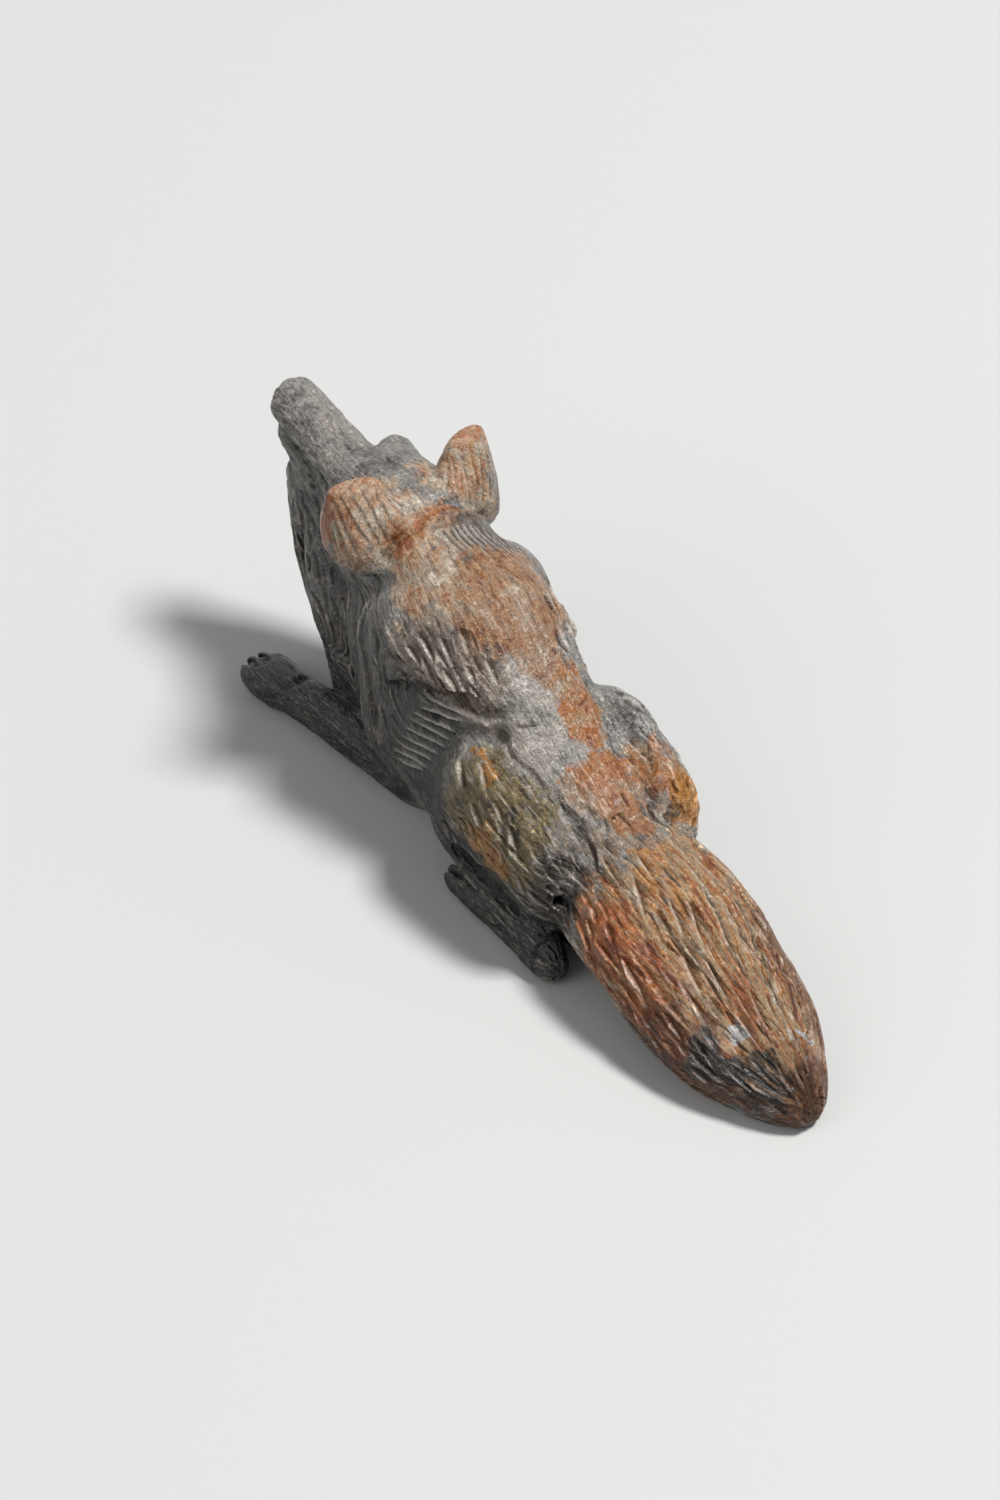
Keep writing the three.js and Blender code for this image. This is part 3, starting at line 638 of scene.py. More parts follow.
# %% Set the guides
GUIDES = [
    ((4, 0, 6), (-1, 0, -0.6), 4.5, 1.1, 0.34),
    ((6, 4, 5), (-1, -0.4, -0.4), 4.5, 1.1, 0.36),
    ((18, 0, 14), (-1, 0.05, -0.35), 6, 1.25, 0.5),
    ((18, 8, 9), (-1, 0.1, -0.4), 6, 1.25, 0.52),
    ((30, 0, 18), (-1, 0.05, -0.2), 6, 1.3, 0.5),
    ((30, 9, 11), (-1, 0.3, -0.35), 6, 1.25, 0.52),
    ((39, 3, 19), (-1, 0.1, -0.25), 5, 1.25, 0.42),
    ((47, 0, 23), (-1, 0, -0.5), 4.5, 1.2, 0.16),
    ((55, 0, 29), (-1, 0, -0.8), 4, 1.2, 0.05),
    ((53, 5, 26), (-1, 0, -0.6), 5, 1.1, 0.06),
    ((53, -7, 26), (-1, -0.1, -0.4), 5, 1.2, 0.16),
    ((61, 2, 34), (-0.9, 0, -0.7), 5, 1.0, 0.1),
    ((66, 0, 38), (-1, -0.1, -0.55), 7, 0.8, 0.14),
    ((69, -5, 37), (-1, -0.2, -0.4), 7, 0.8, 0.18),
    ((66, 6.5, 34), (-0.75, 0, -0.68), 4.5, 1.4, 0.42),
    ((63, 9, 30), (-0.76, -0.06, -0.65), 4.5, 1.5, 0.62),
    ((69, 10.5, 30), (-0.9, -0.1, -0.4), 4.5, 1.4, 0.5),
    ((75, 0, 40), (-1, 0, 0.05), 5, 0.9, 0.08),
    ((75, 7, 35), (-0.8, 0.3, -0.4), 4, 1.2, 0.12),
    ((76, 11, 25), (-0.25, 0.1, -1), 7, 1.0, 0.32),
    ((77, 12, 15), (-0.15, 0, -1), 7, 1.0, 0.36),
    ((66, 12, 18), (-1, -0.1, 0.3), 4.5, 1.2, 0.0),
    ((63, 11, 23), (-1, -0.1, 0.3), 4.5, 1.2, 0.0),
    ((70, 12.5, 12), (-0.9, 0, 0.4), 4.5, 1.2, 0.0),
    ((60, 10, 26), (-1, -0.1, 0.1), 4.5, 1.2, 0.0),
    ((52, 10, 23), (-0.95, 0.2, -0.3), 4.5, 1.3, 0.38),
    ((50, 13, 17), (-0.95, 0, -0.45), 4, 1.4, 0.6),
    ((43, 12, 14), (-0.85, -0.2, -0.6), 4, 1.3, 0.56),
    ((57, 13, 14), (-0.9, 0, -0.6), 4, 1.3, 0.5),
    ((52, 13, 8), (-1, 0, -0.25), 5, 1.2, 0.36),
    ((45, 12, 4), (-1, 0, -0.1), 5, 1.2, 0.32),
    ((57, 11, 3), (-1, 0, 0.1), 4, 1.2, 0.22),
    ((90, 9, 8), (1, 0.2, 0), 5, 1.15, 0.24),
    ((80, 9, 6), (1, 0.2, 0.1), 5, 1.15, 0.24),
    ((103, 11, 5), (1, 0, -0.3), 3, 1.1, 0.14),
    ((86, 7, 22), (-0.35, 0, -0.95), 7, 1.2, 0.44),
    ((84, 7, 12), (-0.35, 0, -0.95), 7, 1.2, 0.44),
    ((97, 7, 20), (-0.45, 0, -0.9), 6.5, 1.3, 0.55),
    ((104, 5, 26), (-0.45, 0, -0.9), 6, 1.3, 0.55),
    ((101, 0, 14), (-0.35, 0, -0.95), 6.5, 1.3, 0.55),
    ((107, 0, 26), (-0.4, 0, -0.95), 6, 1.3, 0.52),
    ((93, 8, 30), (-0.8, 0.1, -0.6), 4.5, 1.2, 0.42),
    ((88, 9, 28), (-0.6, 0.1, -0.8), 5, 1.2, 0.44),
    ((110, 0, 40), (-1, 0, 0.15), 3, 0.9, 0.15),
    ((102, 0, 39.5), (-1, 0.15, 0.3), 3.5, 0.9, 0.18),
    ((107, 4, 37), (-1, 0, 0.1), 3.5, 0.9, 0.22),
    ((108, 3, 32), (-1, 0, -0.1), 3.5, 1.0, 0.28),
    ((96, 5, 39), (-1, 0.3, 0.2), 3.5, 0.9, 0.18),
    ((90, 0, 42.5), (-1, 0, 0.05), 4, 0.9, 0.13),
    ((84, 2, 42), (-0.9, 0.2, 0.1), 3, 0.9, 0.1),
    ((84, 8, 40), (0.3, 0.35, 0.9), 5, 0.85, 0.13),
    ((86, 10, 45), (0.3, 0.5, 0.8), 3, 0.85, 0.1),
    ((88, 10.5, 40), (0.1, 0.2, 1), 4, 0.9, 0.2),
]
print("guides:", len(GUIDES))

# %% Comb the skin
def blend_guides():
    """Blend the guides over the whole skin, each weighing more the nearer it is."""
    weight = np.zeros(len(skin))
    mixed = np.zeros((len(skin), 6))
    for place, direction, *sizes in GUIDES:
        for side in SIDES if place[1] else (1,):
            flip = np.array([1, side, 1])
            squared = ((skin - np.array(place) * flip) ** 2).sum(axis=1)
            share = 1 / (squared + 3) ** 2
            heading = np.array(direction) * flip / np.linalg.norm(direction)
            mixed += share[:, None] * np.array([*heading, *sizes])
            weight += share
    return mixed / weight[:, None]


blended = blend_guides()
hair = blended[:, :3] - outward * (blended[:, :3] * outward).sum(axis=1)[:, None]
hair /= np.linalg.norm(hair, axis=1, keepdims=True)
hair_length, hair_gap, hair_depth = blended[:, 3:].T
print("gap between cuts in mm:", round(float(hair_gap.min()), 2), "to", round(float(hair_gap.max()), 2))

# %% [markdown]
# ## Where the cuts start
# The cuts should look placed by hand: evenly spread, but in no pattern. Places are drawn in a
# fixed random order, and one is kept only if no cut kept before it is too near. Too near is an
# oval, long along the hair and narrow across it, so that cuts overlap like shingles.

# %% Choose the starting places
CELL = 3.0
OVAL_LENGTH = 0.42
TRIES = 60000
LOWEST = 0.4
rng = np.random.default_rng(21)
kept_in_cell = {}
starts = []


def too_close(place, way, facing, gap, length):
    """Look in the cells round a place for a kept cut within its oval."""
    home = np.floor(place / CELL).astype(int)
    for shift in np.ndindex(3, 3, 3):
        for other in kept_in_cell.get(tuple(home + shift - 1), ()):
            away = place - skin[other]
            along = away @ way
            across = away @ away - along ** 2
            oval = (along / (OVAL_LENGTH * length)) ** 2 + across / gap ** 2
            if oval < 1 and facing @ outward[other] > 0.2:
                return True
    return False


for point in rng.permutation(len(skin))[:TRIES]:
    place = skin[point]
    crowded = too_close(place, hair[point], outward[point], hair_gap[point], hair_length[point])
    if place[2] >= LOWEST and not crowded:
        starts.append(point)
        kept_in_cell.setdefault(tuple(np.floor(place / CELL).astype(int)), []).append(point)
print("cuts:", len(starts))

# %% [markdown]
# ## Cutting the hair
# A graver held at a slant leaves one steep wall and one long gentle one, and as it digs in and lifts
# out again, the groove is as slim as a leaf at both ends. Where cuts overlap, the deepest wins, as
# it would in stone. Real geometry is worth the effort here, because the light catches every edge;
# a bump pattern alone would stay flat at the outline. The steep wall ends in a lip, which is kept
# as a value of its own, because polish makes it shine, and the finish paints that shine in as a
# highlight. Chance gives each cut its length, width, depth and sway: most are light, a few go deep,
# and three in four lean the same way.

# %% Make a graver
STEP = 0.4
STEEP_WALL = 0.32
LIP_WIDTH = 0.2
removed = np.zeros(len(skin))
lip = np.zeros(len(skin))


def groove(walk, gap, depth, slant):
    """Cut a slanted groove along a walk of points, places and ways, and say where its lip lies."""
    touched = []
    for count, (point, place, way) in enumerate(walk):
        found = finder.find_range(place, 1.1 * gap)
        close = np.array([index for _, index, _ in found], int)
        away = skin[close] - place
        along = away @ way
        across = slant * (away @ np.cross(outward[point], way))
        share = ((count + along / STEP) / len(walk)).clip(0, 1)
        run = np.sin(np.pi * share ** 0.8) ** 0.7
        bite = depth * (run - np.where(across > 0, across / gap, -across / STEEP_WALL))
        facing = (np.abs(along) < 0.8 * STEP) & (outward[close] @ outward[point] > 0.1)
        use = facing & (bite > 0)
        removed[close[use]] = np.maximum(removed[close[use]], bite[use])
        shine = np.exp(-((across + STEEP_WALL) / LIP_WIDTH) ** 2) * run * min(1, 2 * depth)
        use = facing & (shine > 0.1)
        lip[close[use]] = np.maximum(lip[close[use]], shine[use])
        touched.append((close[use], shine[use]))
    return touched


def follow_hair(start, length, sway):
    """Walk over the skin along the hair, turned a little by the hand's sway."""
    point, place = start, skin[start].copy()
    walk = []
    for _ in range(int(length / STEP)):
        way = hair[point] + sway * np.cross(outward[point], hair[point])
        way /= np.linalg.norm(way)
        walk.append((point, place.copy(), way))
        place += STEP * way
        _, point, _ = finder.find(place)
        place -= outward[point] * ((place - skin[point]) @ outward[point])
    return walk


# %% Cut the hair
LEAST_DEPTH = 0.03
SWAY = 0.13
for start in starts:
    sway = rng.normal(0, SWAY)
    strength = 0.6 + 0.8 * rng.uniform() ** 1.5
    slant = rng.choice((-1, 1), p=(0.25, 0.75))
    walk = follow_hair(start, hair_length[start] * rng.uniform(0.5, 1.35), sway)
    if hair_depth[start] > LEAST_DEPTH and len(walk) > 3:
        groove(walk, hair_gap[start] * rng.uniform(0.75, 1.45), hair_depth[start] * strength, slant)
print("deepest cut in mm:", round(float(removed.max()), 2))

# %% [markdown]
# ## Cuts with a place of their own
# Some cuts can't be left to chance: the comb of short grooves on the upper arm, the fan of lines on
# the back of each ear, the lines beside the nape, the leaf-shaped cuts on tail, mane and haunch,
# the fine folds round the flank's pit, and the lip over the tail root. They use the same graver, on
# lines laid over the skin through chosen places. Their lips are painted pale: partly stone dust from
# the graver, partly a painted highlight.

# %% Lay a line for the graver
def laid(places):
    """Turn a line through places into a walk for the graver."""
    curve = line_through(places, STEP)
    ways = np.gradient(curve, axis=0)
    ways /= np.linalg.norm(ways, axis=1, keepdims=True) + 1e-9
    return [(finder.find(place)[1], place, way) for place, way in zip(curve, ways)]


def shares(count):
    """Divide the way from 0 to 1 evenly."""
    return [number / (count - 1) for number in range(count)]


def part_way(share, *places):
    """Find a place a share of the way along a chain of places."""
    reach = share * (len(places) - 1)
    first = min(int(reach), len(places) - 2)
    start, end = np.array(places[first], float), np.array(places[first + 1], float)
    return tuple(start + (reach - first) * (end - start))


print("halfway along a bent chain:", [float(v) for v in part_way(0.5, (0, 0, 0), (2, 0, 0), (2, 2, 0))])

# %% List the chosen cuts
LEAF_CUTS = [
    ((29, 1.2, 17.4), (26, 1.8, 16.6), (23.4, 2.6, 15.4)),
    ((26.6, -0.4, 17.4), (24, 0, 16.6), (21, 0.6, 15.4)),
    ((24, -3, 16.4), (21.4, -2.4, 15.4), (18.6, -1.6, 14)),
    ((33, 3.2, 17.8), (30.4, 4, 16.8), (28, 4.8, 15.6)),
    ((20, 5.6, 12.8), (17, 5.8, 11.4), (14, 5.8, 10)),
    ((19.6, 1.8, 14.4), (17, 2, 13.4), (14.6, 2.2, 12.2)),
    ((31, -3.8, 17.2), (28.4, -3.8, 16.8), (25.6, -4, 16)),
    ((27, 8.2, 12), (24, 8.6, 10.8), (21, 8.6, 9.4)),
    ((15.4, -4, 12), (12.6, -3.6, 10.8), (10, -3, 9.4)),
    ((22, 3.8, 14.4), (19.6, 4.2, 13.2), (17.2, 4.4, 12)),
    ((13, 2.4, 11.6), (10.6, 2.2, 10.2), (8.4, 2, 9)),
    ((36, 0.6, 18.4), (33.6, 0.8, 18.2), (31.4, 1.4, 17.8)),
]
MANE_CUTS = [
    ((71, 11, 31.4), (68.4, 11, 29.6)),
    ((69.6, 9.4, 32.6), (66.8, 9.2, 30.8)),
    ((67.6, 8, 34), (64.8, 8, 31.8)),
    ((66, 6.2, 35.4), (63.4, 6.2, 33)),
    ((65.4, 9.6, 31.2), (62.4, 9, 29.4)),
    ((63, 7.2, 32.2), (60.4, 7, 30)),
    ((61.6, 5.2, 33.2), (59.2, 5, 30.8)),
]
HAUNCH_CUTS = [
    ((58, 11.6, 22.6), (55, 12, 20.4)),
    ((55, 10.6, 24), (52, 11.4, 22.2)),
    ((52.8, 13, 20), (50, 13.4, 17.6)),
    ((50, 12, 22), (47, 12, 19.4)),
    ((48.6, 13.4, 17.6), (46.2, 13.2, 14.8)),
    ((46.8, 11.4, 20), (44, 11, 17.2)),
    ((54.4, 13.8, 17), (51.6, 14, 14.4)),
    ((44.6, 12.4, 15.4), (42.6, 11.8, 12.6)),
]
PIT_FOLDS = [
    ((57.4, 5.6, 27.8), (60.4, 3.2, 31.6)),
    ((55.4, 5.4, 26.6), (53, 2.8, 27.4)),
    ((58.6, 7.4, 27.6), (62.2, 6.4, 31.2)),
    ((55, 8.2, 24.4), (51, 7.6, 23.2)),
    ((54.8, 6.6, 25), (51, 5.8, 23.8)),
]
ROOT_LIP = ((47.6, 4.4, 22.4), (45.4, 4.8, 21), (43, 4.4, 20), (40.6, 4.4, 18.8))
print("chosen cuts in lists:", len(LEAF_CUTS + 2 * (MANE_CUTS + HAUNCH_CUTS + PIT_FOLDS + [ROOT_LIP])))

# %% Cut the chosen lines
COMB_CUTS = 9
FAN_LINES = 10
NAPE_LINES = 12
scored = np.zeros(len(skin))


def score(places, gap, depth, slant, bright):
    """Cut a groove along chosen places and paint its lip pale: stone dust and a painted highlight."""
    for close, shine in groove(laid(places), gap, depth, slant):
        scored[close] = np.maximum(scored[close], bright * shine)


for side in SIDES:
    for share in shares(COMB_CUTS):
        front = part_way(share, (66.5, 12, 26), (69.5, 12.4, 19), (73.5, 12.4, 10.5))
        rear = part_way(share, (60.5, 9.6, 26.4), (62.5, 11, 20.5), (66.5, 12.2, 13.5))
        score(on_side(side, front, rear), 1.45, 0.95, -side, 1)
    for share in shares(FAN_LINES):
        base = part_way(share, (84.4, 11.2, 35.6), (82, 9.6, 37), (80.4, 6.6, 39), (82, 2.8, 42.3))
        top = part_way(share, (86.8, 11.4, 43), (87, 9.6, 45.4), (84.6, 4.6, 44.8))
        score(on_head(side, base, top), 0.8, 0.3, side, 0.4)
for share in shares(NAPE_LINES):
    front = part_way(share, (77.6, 1, 41.4), (77, -4, 40.4), (75, -9, 36))
    score([front, (front[0] - 3.6, front[1] - 0.5, front[2] - 0.6)], 0.7, 0.36, 1, 0.9)
for leaf in LEAF_CUTS:
    score(leaf, 1.6, 0.75, 1, 0.5)
for lines, gap, depth, bright in (
    (MANE_CUTS, 1.5, 0.7, 0.6),
    (HAUNCH_CUTS, 1.9, 0.75, 0.6),
    (PIT_FOLDS, 0.55, 0.16, 0.8),
    ([ROOT_LIP], 1.0, 0.3, 0.7),
):
    for line in lines:
        for side in SIDES:
            score(on_side(side, *line), gap, depth, side, bright)

skin[:] -= outward * removed[:, None]
print("share of the skin that is cut:", round(float((removed > 0.05).mean()), 2))

# %% [markdown]
# ## From arrays back to a mesh
# The finished skin goes back into a mesh, with some values for every point: how deep it lies in a
# cut, how much it stands on an edge or on a pale lip, and how much carving there is round it. The
# finish reads them: the cuts stay dull and get dark dust and painted shade, and edges and lips get
# pale wear and a painted highlight where the polish would shine.
# Two more hold the place as seen along the body and down the breast, so that a grain can follow
# the hair. A last decimation spends fewer triangles on smooth places, and keeps them along the
# cuts. Edges sharper than an angle are shaded hard, since soft shading makes stone look like wax.

# %% Find edges and hollows
EDGE_FROM, HOLLOW_FROM, BEND_RANGE = 0.015, 0.008, 0.05
CUT_FROM, CUT_RANGE = 0.15, 0.7
skin[flat_base, 2] = 0
skin[:, 2] = skin[:, 2].clip(0)
outward = normals()
bulge = ((skin - relax(skin, 3)) * outward).sum(axis=1)
bulge = relax(bulge[:, None], 1)[:, 0]
crest = np.maximum(((bulge - EDGE_FROM) / BEND_RANGE).clip(0, 1), 0.9 * lip * (bulge > -0.01))
hollow = np.maximum(0.5 * hollow, ((-bulge - HOLLOW_FROM) / BEND_RANGE).clip(0, 1))
hollow = np.maximum(hollow, 0.5 * ((removed - CUT_FROM) / CUT_RANGE).clip(0, 1))
print("share of the skin on an edge:", round(float((crest > 0.5).mean()), 3))

# %% Store the values for the finish
AXIS_PLACES = (0, 20, 45, 70, 85, 114)
AXIS_HEIGHTS = (4, 8, 10, 18, 30, 34)
BREAST_MIDDLE = (88, 0)
ROUND = 12.0
SQUEEZE = 0.14
axis_height = np.interp(skin[:, 0], AXIS_PLACES, AXIS_HEIGHTS)
away = np.stack([skin[:, 1], skin[:, 2] - axis_height], axis=1)
away *= ROUND / np.linalg.norm(away, axis=1, keepdims=True).clip(1)
leg = smooth_step(np.abs(skin[:, 1]), 6, 8) * smooth_step(skin[:, 2], 9, 7) * (skin[:, 0] > 40)
away += leg[:, None] * (skin[:, 1:] - away)
along_body = np.column_stack([SQUEEZE * skin[:, 0], away])
away = skin[:, :2] - BREAST_MIDDLE
away *= ROUND / np.linalg.norm(away, axis=1, keepdims=True).clip(1)
down_breast = np.column_stack([away, SQUEEZE * skin[:, 2]])
upright = smooth_step(np.abs(blended[:, 2]) / np.linalg.norm(blended[:, :3], axis=1), 0.7, 0.85)

carved = (hair_depth / 0.5).clip(0, 1)
floats = {"hollow": hollow, "crest": crest, "upright": upright, "carved": carved, "scored": scored}
for name, values in floats.items():
    dense.attributes.new(name, "FLOAT", "POINT").data.foreach_set("value", values.astype(np.float32))
for name, values in (("along_body", along_body), ("down_breast", down_breast)):
    rows = dense.attributes.new(name, "FLOAT_VECTOR", "POINT").data
    rows.foreach_set("vector", values.astype(np.float32).ravel())
print("values on every point:", [item.name for item in dense.attributes if item.domain == "POINT"])

# %% Build the stone
FACE_BUDGET = 195000
SHARP_ANGLE = 24
dense.vertices.foreach_set("co", ((skin + TAIL_TIP) / 1000).astype(np.float32).ravel())
dense.materials.clear()
dense.update()
stone = bpy.data.objects.new("wolf_stone", dense)
scene.collection.objects.link(stone)
thinner = stone.modifiers.new("thinner", "DECIMATE")
thinner.ratio = min(1, FACE_BUDGET / (2 * len(quads)))
bpy.context.view_layer.update()
carving = bpy.data.meshes.new_from_object(stone.evaluated_get(bpy.context.evaluated_depsgraph_get()))
stone.modifiers.clear()
stone.data = carving
bpy.data.meshes.remove(dense)
carving.polygons.foreach_set("use_smooth", [True] * len(carving.polygons))
carving.set_sharp_from_angle(angle=math.radians(SHARP_ANGLE))
points = read(carving.vertices, "co", 3, np.float32)
points[:, 2] = points[:, 2].clip(0)
carving.vertices.foreach_set("co", points.ravel())
carving.name = "wolf_stone"
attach(stone, "root")
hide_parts("stone_carving")
print("triangles:", sum(len(face.vertices) - 2 for face in carving.polygons))

# %% [markdown]
# ## The stone's colours
# The block was banded before it was carved, so the colours run through it as clouds and not along
# the surface. They could be painted by hand on an unwrapped skin, but noise in space has no seams
# and runs through the stone as real bands do. First come the clouds themselves: even mottling in
# two sizes, and streaks and scratches that are drawn out along the hair.

# %% Stir up the clouds
marble = Finish("banded_marble")
place = marble.scaled(marble.node("ShaderNodeTexCoord", {}, {}, output=3), 1000.0)
place = marble.vector("ADD", place, [float(-TAIL_TIP[0]), 0, 0])


def centred_noise(scale, detail, strength):
    """A noise vector that points anywhere, up to a strength in mm."""
    cloud = marble.vector("SUBTRACT", marble.noise(place, scale, detail, output=1), [0.5] * 3)
    return marble.vector("MULTIPLY", cloud, [strength] * 3)


bent = marble.vector("ADD", place, centred_noise(0.16, 2, 7))
bent = marble.vector("ADD", bent, centred_noise(0.7, 3, 3.2))


def spread(cloud, strength=2.2):
    """Stretch a noise, which keeps close to 0.5, over more of the range from 0 to 1."""
    return (cloud - 0.5) * strength + 0.5


def follow(scale, detail, roughness):
    """A noise drawn out into lines that run with the hair: along the body, or down the breast."""
    lengthwise, downwards = (
        marble.noise(marble.attribute(name, 1), scale, detail, roughness)
        for name in ("along_body", "down_breast")
    )
    share = marble.attribute("upright")
    return lengthwise + (downwards - lengthwise) * share


clouds = marble.noise(place, 0.3, 5, 0.62)
fine = marble.noise(place, 1.5, 5, 0.7)
mottle = spread(clouds * 0.6 + fine * 0.4, 3.2)
long_clouds = follow(0.8, 5, 0.65)
scratches = follow(3.4, 3, 0.6)
streaks = spread(long_clouds * 0.75 + fine * 0.25, 2.6)
ragged = (marble.noise(place, 0.4, 6, 0.68) - 0.5) * 1.3 + (fine - 0.5) * 0.8
print("nodes for the clouds:", len(marble.tree.nodes))

# %% [markdown]
# ## The palettes
# Each colour of the stone is a small palette and not one colour: the mottling of the clouds picks
# from dark through middle to pale. A slightly duller stop in the middle keeps a patch from looking
# like a smooth gradient. Palettes of the fur run with the streaks, the others with the mottling.

# %% Mix the stone's palettes
EVEN = (0.1, 0.35, 0.5, 0.65, 0.9)
EARTHY = (0.1, 0.32, 0.5, 0.66, 0.9)
WARM = (0.05, 0.3, 0.48, 0.6, 0.75, 0.95)
PALETTES = {
    "grey": (mottle, EVEN, "3E3C3A 696765 878581 7A7671 B2AFA9"),
    "pale": (mottle, EVEN, "6F6B66 96918A ABA59D A2978D D3CEC6"),
    "mane": (mottle, EVEN, "51463E 7E7065 9C8C7F 8A7B6F BDAF9F"),
    # The dark palette is partly the stone's black and partly painted shade on the low, shaded parts.
    "dark": (mottle, EVEN, "0C0C0C 1A1A19 282725 201F1E 464340"),
    "throat": (streaks, EVEN, "232220 42403E 5C5956 514E4B 8A8782"),
    "hump": (mottle, WARM, "66361F 8B5B38 A27C58 90715C A8917A C4B49E"),
    "spine": (mottle, WARM, "74360F 98551F A86C34 9A6C48 A58A6C C4AC8C"),
    "ear": (mottle, EARTHY, "8A5634 B08260 C0A183 B0A08E D8C8B2"),
    "haunch": (mottle, EARTHY, "2E281A 564A30 7A683E 625843 A4925F"),
    "tail": (streaks, (0.1, 0.3, 0.44, 0.54, 0.68, 0.9), "5A3018 985A2E AE7A46 AC906E 8F745A CDB592"),
    "rust": (streaks, EARTHY, "472210 8A4218 AA5F2A 9A6C3E BF9062"),
    "vein": (streaks, (0.1, 0.4, 0.55, 0.7, 0.9), "0B0908 191512 2E231A 5A4029 80603F"),
    "bark": (streaks, EARTHY, "200E04 4E2810 6E3E1A 62401F 96683A"),
    "amber": (mottle, (0.1, 0.35, 0.6, 0.9), "744312 A56A25 B07A36 C9975A"),
    "chip": (fine, (0.35, 0.6), "8E9294 C8CBCB"),
}


def palette(name):
    """Run a cloud's values through a palette's colours."""
    cloud, positions, codes = PALETTES[name]
    return marble.ramp(cloud, [(stop, paint(code)) for stop, code in zip(positions, codes.split())])


palettes = {name: palette(name) for name in PALETTES}
print("palettes:", *palettes)

# %% [markdown]
# ## The patches
# Each patch is a cloud of one palette inside an ellipsoid in the stone, bent by noise and with a
# ragged rim, so that no outline stays regular: a grey ground, a salmon hump, an orange stripe down
# the spine, olive and ochre haunches, and rust streaks in the tail. The dark patches on the legs, the
# lower flanks, under the breast and in the recess at the tail root are partly the stone's own black
# and partly painted shade. A row gives a patch's name, its palette, its middle and radii in mm, and
# how far it covers what lies under it.

